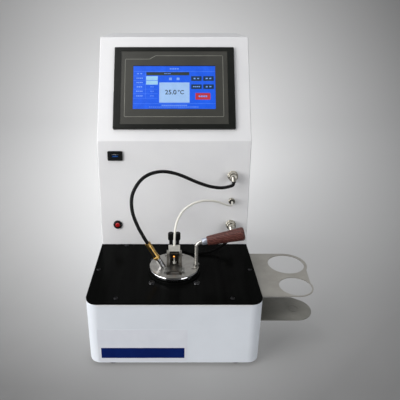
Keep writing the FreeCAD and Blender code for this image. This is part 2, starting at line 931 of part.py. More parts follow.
def igniter_frame():
    """Two cheeks that stand on the lid, the posts behind them and the cap that bridges them."""
    pieces = []
    length = s.cheek_back - s.cheek_front
    for side in (-1, 1):
        near = s.cheek_inner if side > 0 else -s.cheek_inner - s.cheek_width
        cheek = padded("cheek_%d" % (side + 1), "YZ_Plane", [
            (0, 0), (length, 0), (length, s.cheek_rear_height), (length / 2, s.cheek_rear_height),
            (0, s.cheek_front_height),
        ], s.cheek_width, (near, s.cheek_front, lid_top))
        tall = value_of(s.cheek_front_height)
        pieces.append(rounded(cheek, s.cheek_round, along(0, lambda middle: middle.z > tall - NEARLY)))
        inner = s.cheek_inner - s.post_inset
        us = (inner, inner + s.post_width) if side > 0 else (-inner - s.post_width, -inner)
        pieces.append(block(
            "igniter_post_%d" % (side + 1), us, (s.cap_front, s.cap_back),
            (lid_top + s.cheek_rear_height / 2, lid_top + s.cap_high - s.cap_round),
        ))
    reach = s.cap_half + s.post_width / 2
    cap = padded(
        "igniter_cap", "XY_Plane", rectangle((-reach, reach), (0, s.cap_back - s.cap_front)),
        s.cap_high - s.cap_low, (0, s.cap_front, lid_top + s.cap_low),
    )
    high = value_of(s.cap_high - s.cap_low)
    rounded(cap, s.cap_round, along(1, lambda middle: middle.z > high - NEARLY))
    frame = union("igniter_frame_solid", *pieces, cap)
    side_reach = s.cheek_inner + 2 * s.cheek_width
    bore = cylinder(
        "igniter_frame_bore", s.pin_radius, 2 * side_reach,
        (-side_reach, s.pivot_v, lid_top + s.pivot_height), TO_RIGHT,
    )
    tube_v = (s.cap_front + s.cap_back) / 2
    tube = cylinder(
        "igniter_frame_tube_bore", s.gas_tube_radius + 2 * s.fit_gap, s.cap_high,
        (0, tube_v, lid_top + s.cap_low),
    )
    cut("igniter_frame", frame, bore, tube)


def igniter_arm():
    """The black head that dips: it carries the coil in its eye and the nozzle in its arch."""
    head = padded(
        "igniter_arm_head", "XY_Plane",
        rectangle((-s.arm_half, s.arm_half), (0, s.arm_back - s.arm_front)),
        s.arm_high - s.arm_low, (0, s.arm_front, lid_top + s.arm_low),
    )
    high = value_of(s.arm_high - s.arm_low)
    rounded(head, s.arm_round, along(0, lambda middle: middle.z > high - NEARLY))
    ears = []
    for side in (-1, 1):
        near = s.arm_half - s.ear_width if side > 0 else -s.arm_half
        ears.append(cylinder(
            "igniter_ear_%d" % (side + 1), s.ear_radius, s.ear_width,
            (near, s.pivot_v, lid_top + s.pivot_height), TO_RIGHT,
        ))
    solid = union("igniter_arm_solid", head, *ears)
    eye = cylinder(
        "igniter_eye", s.eye_radius, s.eye_depth + s.overrun,
        (0, s.arm_front - s.overrun, lid_top + s.eye_height), TO_BACK,
    )
    spring = lid_top + s.arm_low + s.arch_height - s.arch_radius
    arch = cylinder(
        "igniter_arch", s.arch_radius, s.arch_depth + s.overrun, (0, s.arm_front - s.overrun, spring), TO_BACK
    )
    foot = block(
        "igniter_arch_foot", (-s.arch_radius, s.arch_radius),
        (s.arm_front - s.overrun, s.arm_front + s.arch_depth), (lid_top + s.arm_low - s.overrun, spring),
    )
    bore = cylinder(
        "igniter_arm_bore", s.pin_radius + s.running_gap, 2 * s.arm_half + 2 * s.overrun,
        (-s.arm_half - s.overrun, s.pivot_v, lid_top + s.pivot_height), TO_RIGHT,
    )
    cut("igniter_arm", solid, eye, arch, foot, bore)
    reach = s.cheek_inner + s.cheek_width + s.pin_reach
    pin = cylinder(
        "igniter_pin_shaft", s.pin_radius, 2 * reach, (-reach, s.pivot_v, lid_top + s.pivot_height), TO_RIGHT
    )
    head_out = cylinder(
        "igniter_pin_head", s.pin_head_radius, s.pin_head_thick,
        (-reach, s.pivot_v, lid_top + s.pivot_height), TO_RIGHT,
    )
    union("igniter_pin", pin, head_out)


def igniter_coil():
    """The glow coil across the eye, a short helix on two straight leads."""
    length = 2 * s.eye_radius * s.coil_span_share
    span = value_of(length)
    radius, wire = value_of(s.coil_radius), value_of(s.coil_wire)
    helix = Part.makeHelix(span / value_of(s.coil_turns), span, radius)
    section = Part.Wire([Part.makeCircle(wire, FreeCAD.Vector(radius, 0, 0), FreeCAD.Vector(0, 1, 0))])
    winding = Part.Wire(helix.Edges).makePipeShell([section], True, True)
    item = doc.addObject("Part::Feature", "coil_winding")
    item.Shape = winding
    middle = s.arm_front + s.eye_depth / 2
    place(item, (-length / 2, middle, lid_top + s.eye_height), TO_RIGHT)
    core_at = (-s.eye_radius, middle, lid_top + s.eye_height)
    core = cylinder("coil_core", s.coil_radius, 2 * s.eye_radius, core_at, TO_RIGHT)
    trim = cylinder(
        "coil_trim", s.eye_radius, s.eye_depth, (0, s.arm_front, lid_top + s.eye_height), TO_BACK
    )
    whole = union("coil_whole", item, core)
    boolean("Common", "igniter_coil", whole, trim)


def gas_nozzle():
    """The cone in the arch, with its tip just under the head."""
    low = lid_top + s.nozzle_low
    top = s.arm_low + s.arch_height - s.nozzle_low
    revolved("gas_nozzle", [
        (0, 0),
        (s.nozzle_tip, 0),
        (s.nozzle_radius, s.nozzle_tip),
        (s.nozzle_top_radius, s.nozzle_cone),
        (s.nozzle_top_radius, top),
        (0, top),
    ], (0, s.nozzle_v, low))


def terminals():
    """The insulating block behind the cap, with two studs and the knobs that turn on them."""
    solid = block(
        "terminal_block_solid", (-s.terminal_half, s.terminal_half), (s.cap_back, s.terminal_back),
        (lid_top + s.terminal_low, lid_top + s.terminal_high),
    )
    studs = []
    bores = []
    top = lid_top + s.terminal_high
    for k, side in enumerate((-1, 1)):
        foot = (side * s.knob_u, s.knob_v, lid_top + s.terminal_low)
        length = s.terminal_high - s.terminal_low + s.stud_reach
        studs.append(cylinder("terminal_stud_%d" % k, s.stud_radius, length, foot))
        bores.append(cylinder("terminal_bore_%d" % k, s.stud_radius, length, foot))
        neck, head = s.knob_neck_radius, s.knob_head_radius
        inner = s.stud_radius + s.running_gap
        start = s.knob_neck_height
        full = start + s.knob_head_height
        revolved(("terminal_knob_left", "terminal_knob_right")[k], [
            (inner, 0),
            (neck, 0),
            (neck, start - s.knob_shoulder),
            (head, start + s.knob_shoulder),
            (head, full - s.knob_edge),
            (head - s.knob_edge, full),
            (0, full),
            (0, s.stud_reach + s.rail_gap),
            (inner, s.stud_reach + s.rail_gap),
        ], (side * s.knob_u, s.knob_v, top))
    cut("terminal_block", solid, *bores)
    group("terminal_studs", studs)


def lead_gland():
    """The gland on the igniter's frame, through which the igniter's lead enters."""
    gland_at = (0, s.cheek_back, lid_top + s.gland_height)
    barrel = cylinder("lead_gland_barrel", s.gland_radius, s.gland_length, gland_at, TO_BACK)
    plate = block(
        "lead_gland_plate", (-s.cheek_inner - s.cheek_width, s.cheek_inner + s.cheek_width),
        (s.cheek_back, s.cheek_back + s.post_width),
        (lid_top + s.gland_height - s.gland_radius - s.rail_lip, lid_top + s.gland_height + s.gland_radius),
    )
    hole = cylinder(
        "lead_gland_hole", s.igniter_cable_radius + 2 * s.fit_gap, s.gland_length,
        (0, s.cheek_back + s.post_width, lid_top + s.gland_height), TO_BACK,
    )
    cut("lead_gland", union("lead_gland_solid", barrel, plate), hole)


def probe():
    """The temperature probe: a steel socket welded at a slant, a brass sleeve and the stem in the cup."""
    turn = probe_turn()
    inner = s.stem_radius + s.running_gap
    socket = revolved("probe_socket_turned", [
        (inner, -s.socket_sunk), (s.socket_radius, -s.socket_sunk),
        (s.socket_radius, s.socket_length), (inner, s.socket_length),
    ], probe_place(0), turn)
    wide = 4 * s.socket_radius
    under = block(
        "probe_socket_trim", (-s.probe_u - wide, -s.probe_u + wide), (s.probe_v - wide, s.probe_v + wide),
        (lid_top - wide, lid_top - s.lid_thick),
    )
    cut("probe_socket", socket, under)
    length = s.sleeve_length
    sleeve = revolved("probe_sleeve_turned", [
        (inner, 0),
        (s.collar_radius - s.collar_edge, 0),
        (s.collar_radius, s.collar_edge),
        (s.collar_radius, s.collar_length - s.collar_edge),
        (s.collar_radius - s.collar_edge, s.collar_length),
        (s.sleeve_radius, s.collar_length),
        (s.sleeve_radius, length - s.collar_length / 2),
        (s.collar_radius - s.collar_edge, length - s.collar_length / 2 + s.collar_edge),
        (s.collar_radius - s.collar_edge, length),
        (s.probe_cable_radius + 2 * s.fit_gap, length),
        (s.probe_cable_radius + 2 * s.fit_gap, length - s.collar_length),
        (inner, length - s.collar_length),
    ], probe_place(s.socket_length), turn)
    at = probe_place(s.socket_length + s.collar_length + s.rail_lip)
    slot = turned_box(
        "probe_sleeve_slot", (s.sleeve_slot, s.sleeve_slot_depth, s.sleeve_slot_length),
        (at[0], at[1] - s.sleeve_radius + s.sleeve_slot_depth / 4, at[2]), turn,
    )
    cut("probe_sleeve", sleeve, slot)
    stem_top = s.socket_length + s.sleeve_length - s.collar_length
    cylinder("probe_stem", s.stem_radius, stem_top + s.stem_length, probe_place(-s.stem_length), turn)


def handle():
    """The bent rod on the lid, its foot nut, the ferrule and the tapered grip."""
    slope = s.handle_slope
    corner = (s.handle_u, s.handle_v, lid_top + s.handle_rise)

    def rod_place(reach, lift=0):
        return (
            s.handle_u + reach * cosine(slope) - lift * sine(slope),
            s.handle_v,
            corner[2] + reach * sine(slope) + lift * cosine(slope),
        )

    foot = point(s.handle_u, s.handle_v, cup_top)
    knee = point(*corner)
    end = point(*rod_place(s.ferrule_start + s.ferrule_length + s.tang_length))
    item = doc.addObject("Part::Feature", "handle_bar")
    item.Shape = bent_tube([foot, knee, end], value_of(s.rod_radius), [value_of(s.handle_bend)])
    turn = FreeCAD.Rotation(FreeCAD.Vector(0, 1, 0), 90 - SIZES["handle_slope"])
    inner = s.rod_radius
    ferrule = revolved("handle_ferrule", [
        (inner, 0),
        (s.ferrule_radius - s.ferrule_edge, 0),
        (s.ferrule_radius, s.ferrule_edge),
        (s.ferrule_radius, s.ferrule_length),
        (inner, s.ferrule_length),
    ], rod_place(s.ferrule_start), turn)
    union("handle_rod", item, ferrule)
    length = s.grip_length
    small, big, end_round = s.grip_small_radius, s.grip_big_radius, s.grip_end_round
    bore = s.tang_length + s.rail_gap
    inner = s.rod_radius + s.fit_gap
    revolved("handle_grip", [
        (inner, 0),
        (small - s.ferrule_edge, 0),
        (small, s.ferrule_edge * 2),
        (big, length - end_round),
        (big - end_round / 3, length - end_round / 3),
        (big - end_round, length),
        (0, length),
        (0, bore),
        (inner, bore),
    ], rod_place(s.ferrule_start + s.ferrule_length), turn)


def bent_tube(points, radius, bends):
    """A tube along straight runs that are joined by tangent arcs."""
    edges = []
    last = points[0]
    length = 0.0
    for k in range(1, len(points) - 1):
        before = (points[k - 1] - points[k]).normalize()
        after = (points[k + 1] - points[k]).normalize()
        half_turn = (math.pi - before.getAngle(after)) / 2
        setback = bends[k - 1] * math.tan(half_turn)
        start = points[k] + before * setback
        end = points[k] + after * setback
        bisector = (before + after).normalize()
        middle = points[k] + bisector * (bends[k - 1] / math.cos(half_turn) - bends[k - 1])
        edges.append(Part.LineSegment(last, start).toShape())
        edges.append(Part.Arc(start, middle, end).toShape())
        last = end
    edges.append(Part.LineSegment(last, points[-1]).toShape())
    path = Part.Wire(edges)
    first = (points[1] - points[0]).normalize()
    section = Part.Wire([Part.makeCircle(radius, points[0], first)])
    tube = path.makePipeShell([section], True, False)
    length = path.Length
    expected = math.pi * radius ** 2 * length
    if abs(tube.Volume - expected) > expected * 0.01:
        raise RuntimeError("tube volume %.1f, section times length %.1f" % (tube.Volume, expected))
    return tube


def cord(name, route, radius):
    """A free cord: each bend's radius is 0.45 of its shorter run over the tangent of half the turn."""
    points = [FreeCAD.Vector(u - value_of(origin_u), v - value_of(origin_v), w) for u, v, w in route]
    bends = []
    for k in range(1, len(points) - 1):
        before, after = points[k - 1] - points[k], points[k + 1] - points[k]
        half_turn = (math.pi - before.getAngle(after)) / 2
        bends.append(0.45 * min(before.Length, after.Length) / math.tan(half_turn))
    item = doc.addObject("Part::Feature", name)
    item.Shape = bent_tube(points, radius, bends)
    length = item.Shape.Volume / (math.pi * radius ** 2)
    print("%s: length %.0f mm, bend radii %s" % (name, length, ", ".join("%.0f" % bend for bend in bends)))


PROBE_CABLE_ROUTE = [
    (-43.5, 92.0, 179.8),
    (-52.6, 92.0, 196.2),
    (-63.4, 95.5, 217.0),
    (-72.4, 102.0, 242.0),
    (-71.6, 112.0, 270.0),
    (-49.5, 126.0, 297.5),
    (-8.0, 143.0, 299.0),
    (51.4, 161.0, 264.3),
    (83.0, 171.5, 254.0),
    (101.0, 178.5, 254.6),
    (109.8, 183.7, 256.1),
    (109.8, 189.1, 263.3),
]
GAS_TUBE_ROUTE = [
    (0.0, 101.9, 166.0),
    (0.0, 101.9, 194.0),
    (4.5, 112.0, 219.5),
    (19.5, 127.0, 236.0),
    (45.0, 142.0, 242.3),
    (74.0, 156.0, 236.3),
    (95.5, 167.5, 223.0),
    (106.0, 175.0, 218.0),
    (109.8, 187.0, 217.6),
    (109.8, 202.2, 216.35),
]
IGNITER_LEAD_ROUTE = [
    (0.0, 116.0, 155.0),
    (0.0, 129.0, 155.0),
    (5.0, 137.5, 149.0),
    (14.0, 146.0, 138.5),
    (31.0, 151.5, 129.6),
    (52.0, 153.5, 129.3),
    (71.0, 157.0, 131.5),
    (87.0, 161.5, 138.5),
    (99.0, 166.5, 146.0),
    (109.8, 172.3, 153.95),
    (109.8, 178.3, 161.96),
]


def cords():
    cord("probe_cable", PROBE_CABLE_ROUTE, value_of(s.probe_cable_radius))
    cord("gas_tube", GAS_TUBE_ROUTE, value_of(s.gas_tube_radius))
    cord("igniter_lead", IGNITER_LEAD_ROUTE, value_of(s.igniter_cable_radius))


def tower_outline(inset):
    """The tower's front and top line, seen from the side and set in by a distance."""
    lower = (s.lower_rise / lower_length, s.lower_lean / lower_length)
    upper = (s.upper_rise / upper_length, s.upper_lean / upper_length)
    lower_share = inset / (1 + lower[0] * upper[0] + lower[1] * upper[1])
    upper_share = inset / (1 + upper[1])
    return [
        (inset * lower_length / s.lower_rise, 0),
        (
            s.lower_lean + (lower[0] + upper[0]) * lower_share,
            s.lower_rise - (lower[1] + upper[1]) * lower_share,
        ),
        (
            s.lower_lean + s.upper_lean + upper[0] * upper_share,
            s.lower_rise + s.upper_rise - (upper[1] + 1) * upper_share,
        ),
    ]


def tower_cover():
    """One bent sheet: the tower's lower face, its upper face and its top, with their cut-outs."""
    outer = tower_outline(nothing)
    outer[0] = (0, 0)
    inner = tower_outline(s.sheet)
    back = s.lower_lean + s.upper_lean + s.top_depth - s.sheet
    high = s.lower_rise + s.upper_rise
    corners = outer + [(back, high), (back, high - s.sheet)] + inner[::-1]
    body = padded("tower_cover_sheet", "YZ_Plane", corners, s.body_width, (-half, s.plate_depth, plate_top))

    def near(spots):
        places = [(value_of(a), value_of(b)) for a, b in spots]
        return along(0, lambda middle: any(math.hypot(middle.y - a, middle.z - b) < 0.01 for a, b in places))

    rounded(body, s.bend_radius + s.sheet, near(outer[1:]))
    rounded(body, s.bend_radius, near(inner[1:]))
    through = s.sheet + 2 * s.overrun
    behind = -s.sheet - s.overrun
    tools = [
        turned_box(
            "tower_cut_panel",
            (s.panel_box_width + 2 * s.panel_cut_gap, s.panel_box_height + 2 * s.panel_cut_gap, through),
            on_upper_face(0, s.panel_up, behind), UPPER_FACE,
        ),
        turned_box(
            "tower_cut_dataport",
            (s.dataport_width - 2 * s.dataport_corner, s.dataport_height - 2 * s.dataport_corner, through),
            on_lower_face(-fitting_u, s.dataport_up, behind), LOWER_FACE,
        ),
    ]
    for name, across, up, radius in (
        ("lamp", -fitting_u, s.lamp_up, s.lamp_body_radius),
        ("sensor", fitting_u, s.sensor_up, s.barrel_radius),
        ("gas", fitting_u, s.gas_up, s.gas_back_radius),
        ("igniter", fitting_u, s.igniter_up, s.barrel_radius),
    ):
        tools.append(cylinder(
            "tower_cut_" + name, radius + s.fit_gap, through, on_lower_face(across, up, behind), LOWER_FACE
        ))
    cut("tower_cover", body, *tools)


def tower_sides():
    """The two flat side panels inside the cover's edges."""
    inset = s.sheet + s.fit_gap
    front = tower_outline(inset)
    back = s.lower_lean + s.upper_lean + s.top_depth - s.sheet - s.fit_gap
    corners = front + [(back, s.lower_rise + s.upper_rise - inset), (back, 0)]
    panels = []
    for name, u in (("left_side_panel", -half), ("right_side_panel", half - s.sheet)):
        panel = padded(name, "YZ_Plane", corners, s.sheet, (u, s.plate_depth, plate_top))
        spots = [(value_of(a), value_of(b)) for a, b in front[1:]]

        def bends(middle, spots=spots):
            return any(math.hypot(middle.y - a, middle.z - b) < 0.01 for a, b in spots)

        panels.append(rounded(panel, s.bend_radius + s.sheet, along(0, bends)))
    group("tower_side_panels", panels)


def operator_panel():
    """The touch panel: bezel, overlay, screen and the housing behind the cover."""
    width, height, proud = s.panel_width, s.panel_height, s.panel_proud
    body = padded(
        "panel_bezel_block", "XY_Plane",
        rectangle((-width / 2, width / 2), (-height / 2, height / 2)), proud,
        on_upper_face(0, s.panel_up), UPPER_FACE,
    )
    rounded(body, s.panel_corner, along(2))
    tall = value_of(proud)
    doc.recompute()
    tip = body.Tip
    names = [
        "Edge%d" % (k + 1) for k, edge in enumerate(tip.Shape.Edges)
        if edge.BoundBox.ZMin > tall - NEARLY
    ]
    bevel = body.newObject("PartDesign::Chamfer", "panel_bezel_bevel")
    bevel.Base = (tip, names)
    bind(bevel, "Size", s.panel_bevel)
    body.Tip = bevel
    seat = proud - s.panel_recess - s.overlay_thick
    view = (width - 2 * s.panel_side_rim, height - 2 * s.panel_end_rim)
    recess = turned_box(
        "panel_bezel_recess", (view[0], view[1], proud), on_upper_face(0, s.panel_up, seat), UPPER_FACE
    )
    cut("panel_bezel", body, recess)
    sheet_ = turned_box(
        "panel_overlay_sheet", (view[0] - 2 * s.fit_gap, view[1] - 2 * s.fit_gap, s.overlay_thick),
        on_upper_face(0, s.panel_up, seat), UPPER_FACE,
    )
    window = turned_box(
        "panel_overlay_window", (s.screen_width, s.screen_height, s.overlay_thick + 2 * s.overrun),
        on_upper_face(0, s.panel_up, seat - s.overrun), UPPER_FACE,
    )
    cut("panel_overlay", sheet_, window)
    turned_box(
        "touch_screen", (s.screen_width - 2 * s.fit_gap, s.screen_height - 2 * s.fit_gap, s.screen_thick),
        on_upper_face(0, s.panel_up, seat), UPPER_FACE,
    )
    turned_box(
        "panel_housing", (s.panel_box_width, s.panel_box_height, s.panel_box_depth),
        on_upper_face(0, s.panel_up, -s.panel_box_depth), UPPER_FACE,
    )


def data_port():
    """The data port: a bezel with its body behind the face, and a tongue in its slot."""
    across = -fitting_u
    width, height = s.dataport_width, s.dataport_height
    face = padded(
        "dataport_face", "XY_Plane", rectangle((-width / 2, width / 2), (-height / 2, height / 2)),
        s.dataport_proud, on_lower_face(across, s.dataport_up), LOWER_FACE,
    )
    rounded(face, s.dataport_corner, along(2))
    margin = 2 * (s.dataport_corner + s.fit_gap)
    back = turned_box(
        "dataport_back", (width - margin, height - margin, s.dataport_body_depth),
        on_lower_face(across, s.dataport_up, -s.dataport_body_depth), LOWER_FACE,
    )
    floor = s.dataport_proud - s.dataport_slot_depth
    slot = turned_box(
        "dataport_slot", (s.dataport_slot_width, s.dataport_slot_height, s.dataport_slot_depth + s.overrun),
        on_lower_face(across, s.dataport_up, floor), LOWER_FACE,
    )
    shell = cut("dataport_shell", union("dataport_solid", face, back), slot)
    tongue = turned_box(
        "dataport_tongue", (s.tongue_width, s.tongue_height, s.dataport_slot_depth - s.rail_lip),
        on_lower_face(across, s.dataport_up + s.tongue_drop, floor), LOWER_FACE,
    )
    union("data_port", shell, tongue)


def status_lamp():
    """The indicator lamp: its bezel with the body behind the face, and the lens."""
    at = on_lower_face(-fitting_u, s.lamp_up)
    edge = s.lamp_proud / 3
    revolved("lamp_bezel", [
        (0, -s.lamp_body_depth),
        (s.lamp_body_radius, -s.lamp_body_depth),
        (s.lamp_body_radius, 0),
        (s.lamp_radius, 0),
        (s.lamp_radius, s.lamp_proud - edge),
        (s.lamp_radius - edge, s.lamp_proud),
        (s.lens_radius, s.lamp_proud),
        (s.lens_radius, edge),
        (0, edge),
    ], at, LOWER_FACE)
    dome = s.lamp_proud + s.lens_proud
    revolved("lamp_lens", [
        (0, edge),
        (s.lens_radius - s.fit_gap, edge),
        (s.lens_radius - s.fit_gap, s.lamp_proud),
        (s.lens_radius * 2 / 3, dome - s.lens_proud / 4),
        (0, dome),
    ], at, LOWER_FACE)


def connector(prefix, up, boot_radius, boot_end, boot_length, cable_radius):
    """A round connector: flanged socket, coupling nut and a plug whose boot turns downwards."""
    at = on_lower_face(fitting_u, up)
    edge = s.flange_edge
    revolved(prefix + "_socket", [
        (0, -s.barrel_back),
        (s.barrel_radius, -s.barrel_back),
        (s.barrel_radius, 0),
        (s.flange_radius, 0),
        (s.flange_radius, s.flange_thick - edge),
        (s.flange_radius - edge, s.flange_thick),
        (s.plug_radius - s.running_gap, s.flange_thick),
        (s.plug_radius - s.running_gap, s.barrel_length),
        (0, s.barrel_length),
    ], at, LOWER_FACE)
    nut_low = s.flange_thick + s.nut_gap
    nut_high = nut_low + s.nut_length
    inner = s.plug_radius
    revolved(prefix + "_coupling_nut", [
        (inner, nut_low),
        (s.nut_radius - s.nut_edge, nut_low),
        (s.nut_radius, nut_low + s.nut_edge),
        (s.nut_radius, nut_high - s.nut_edge),
        (s.nut_radius - s.nut_edge, nut_high),
        (inner, nut_high),
    ], at, LOWER_FACE)
    turn = FreeCAD.Rotation(FreeCAD.Vector(1, 0, 0), 90 - lower_slope + SIZES["boot_slope"])
    front = s.barrel_length + s.plug_length
    boot_at = on_lower_face(fitting_u, up, front - s.boot_sunk)
    boot = revolved(prefix + "_boot", [
        (0, 0), (boot_radius, 0), (boot_end, boot_length), (0, boot_length),
    ], boot_at, turn)
    bore = revolved(prefix + "_boot_bore", [
        (0, boot_length - s.boot_grip),
        (cable_radius, boot_length - s.boot_grip),
        (cable_radius, boot_length + s.overrun),
        (0, boot_length + s.overrun),
    ], boot_at, turn)
    trim = cylinder(prefix + "_plug_trim", 2 * s.plug_radius, s.barrel_length, at, LOWER_FACE)
    body = revolved(prefix + "_plug_head", [
        (0, s.barrel_length),
        (s.plug_radius - s.running_gap, s.barrel_length),
        (s.plug_radius - s.running_gap, front - s.plug_dome),
        (s.plug_radius - s.running_gap - s.plug_dome / 2, front - s.plug_dome / 4),
        (s.plug_radius / 3, front),
        (0, front),
    ], at, LOWER_FACE)
    cut(prefix + "_plug", union(prefix + "_plug_solid", body, boot), bore, trim)


def gas_fitting():
    """The push-in gas fitting, with the collet that releases its tube."""
    at = on_lower_face(fitting_u, s.gas_up)
    edge = s.gas_fit_edge
    seat = s.gas_fit_length - s.collet_seat
    revolved("gas_fitting", [
        (0, -s.gas_back),
        (s.gas_back_radius, -s.gas_back),
        (s.gas_back_radius, 0),
        (s.gas_fit_radius, 0),
        (s.gas_fit_radius, s.gas_fit_length - edge),
        (s.gas_fit_radius - edge, s.gas_fit_length),
        (s.collet_radius + s.running_gap, s.gas_fit_length),
        (s.collet_radius + s.running_gap, seat),
        (0, seat),
    ], at, LOWER_FACE)
    ring(
        "gas_collet", s.collet_bore, s.collet_radius, seat + s.collet_travel + s.rail_gap,
        s.gas_fit_length + s.collet_proud, at, LOWER_FACE,
    )


def side_shelf():
    """The bracket on the right: a plate with two cup holes, a web on the base's side and a tray."""
    top = plate_top - s.shelf_drop
    thick = s.shelf_thick
    front = s.front_hole_v - front_lobe_radius
    back = s.rear_hole_v + rear_lobe_radius
    low = plate_top - s.tray_drop
    centre = shelf_hole_u
    neck = padded("shelf_neck", "XY_Plane", [
        (0, 0),
        (
            front_lobe_radius * cosine(s.neck_front_angle),
            front_lobe_radius * sine(s.neck_front_angle),
        ),
        (
            rear_lobe_radius * cosine(s.neck_rear_angle),
            s.rear_hole_v - s.front_hole_v - rear_lobe_radius * sine(s.neck_rear_angle),
        ),
        (0, s.rear_hole_v - s.front_hole_v),
    ], thick, (centre, s.front_hole_v, top - thick))
    tray_front = s.front_hole_v - s.tray_radius
    tray_back = s.front_hole_v + s.tray_back_reach
    tray_corner = padded("shelf_tray_corner", "XY_Plane", [
        (0, 0),
        (s.tray_radius * cosine(s.tray_corner_angle), s.tray_radius * sine(s.tray_corner_angle)),
        (s.tray_back_run, s.tray_back_reach),
        (0, s.tray_back_reach),
    ], thick, (centre, s.front_hole_v, low - thick))
    pieces = [
        block("shelf_plate", (half, centre), (front, back), (top - thick, top)),
        cylinder("shelf_rear_lobe", rear_lobe_radius, thick, (centre, s.rear_hole_v, top - thick)),
        cylinder("shelf_front_lobe", front_lobe_radius, thick, (centre, s.front_hole_v, top - thick)),
        neck,
        block("shelf_web", (half, half + thick), (front, tray_back), (low - thick, top)),
        block("shelf_web_back", (half, half + thick), (front, back), (top - s.shelf_screw_up - thick, top)),
        block("shelf_tray", (half, centre), (tray_front, tray_back), (low - thick, low)),
        cylinder("shelf_tray_end", s.tray_radius, thick, (centre, s.front_hole_v, low - thick)),
        tray_corner,
    ]
    solid = union("side_shelf_solid", *pieces)
    solid.Refine = True
    deep = 2 * s.overrun
    tools = [
        cylinder("shelf_rear_hole", s.rear_hole_radius, deep, (centre, s.rear_hole_v, top - s.overrun)),
        cylinder("shelf_front_hole", s.front_hole_radius, deep, (centre, s.front_hole_v, top - s.overrun)),
        ring(
            "shelf_dimple", s.dimple_radius - s.dimple_wall, s.dimple_radius, -s.dimple_sink, s.overrun,
            (centre, s.front_hole_v, low),
        ),
    ]
    cut("side_shelf", solid, *tools)


def shelf_screws():
    """Two screws that hold the shelf's web to the base."""
    top = plate_top - s.shelf_drop
    thick = s.shelf_thick
    front = s.front_hole_v - front_lobe_radius
    back = s.rear_hole_v + rear_lobe_radius
    items = []
    for v in (front + s.shelf_screw_v, back - s.shelf_screw_v):
        items.append(screw(
            "shelf_screw_%d" % len(items), (half + thick, v, top - s.shelf_screw_up / 2 - thick),
            s.small_head_radius, s.small_head_height, s.small_hex, TO_RIGHT,
        ))
    return items


def rear_panel():
    """The back sheet, with the cut-outs for the inlet and switch, the fan's slots and the vents."""
    inner = rear_v - s.sheet
    sheet_ = block("rear_panel_sheet", (-half, half), (inner, rear_v), (s.foot_height, ridge_w))
    spans = (inner - s.overrun, rear_v + s.overrun)
    tools = []
    for name, w, wide, tall in (
        ("inlet", s.inlet_w, s.inlet_cut_width, s.inlet_cut_height),
        ("switch", s.switch_w, s.switch_width - 2 * s.rear_reach, s.switch_height - 2 * s.rear_reach),
    ):
        tools.append(block(
            "rear_cut_" + name, (inlet_u - wide / 2 - s.fit_gap, inlet_u + wide / 2 + s.fit_gap), spans,
            (w - tall / 2 - s.fit_gap, w + tall / 2 + s.fit_gap),
        ))
    for k in range(COUNTS["guard_slots"]):
        step = k - (COUNTS["guard_slots"] - 1) / 2
        lift = step * s.guard_pitch
        reach = root(s.fan_bore * s.fan_bore - lift * lift) - s.guard_slot / 2
        tools.append(block(
            "rear_guard_%d" % k, (fan_u - reach, fan_u + reach), spans,
            (s.fan_w + lift - s.guard_slot / 2, s.fan_w + lift + s.guard_slot / 2),
        ))
    for k in range(COUNTS["vent_slots"]):
        low = s.vent_w + k * s.vent_pitch
        tools.append(block(
            "rear_vent_%d" % k, (-s.vent_length / 2, s.vent_length / 2), spans, (low, low + s.vent_height)
        ))
    cut("rear_panel", sheet_, *tools)


def rear_screws():
    """Six screws around the rear panel."""
    items = []
    for side in (-1, 1):
        for w in (s.foot_height + s.rear_screw_inset, bend_w, ridge_w - s.rear_screw_inset):
            items.append(screw(
                "rear_screw_%d" % len(items), (side * (half - s.rear_screw_inset), rear_v, w),
                s.small_head_radius, s.small_head_height, s.small_hex, TO_BACK,
            ))
    return items


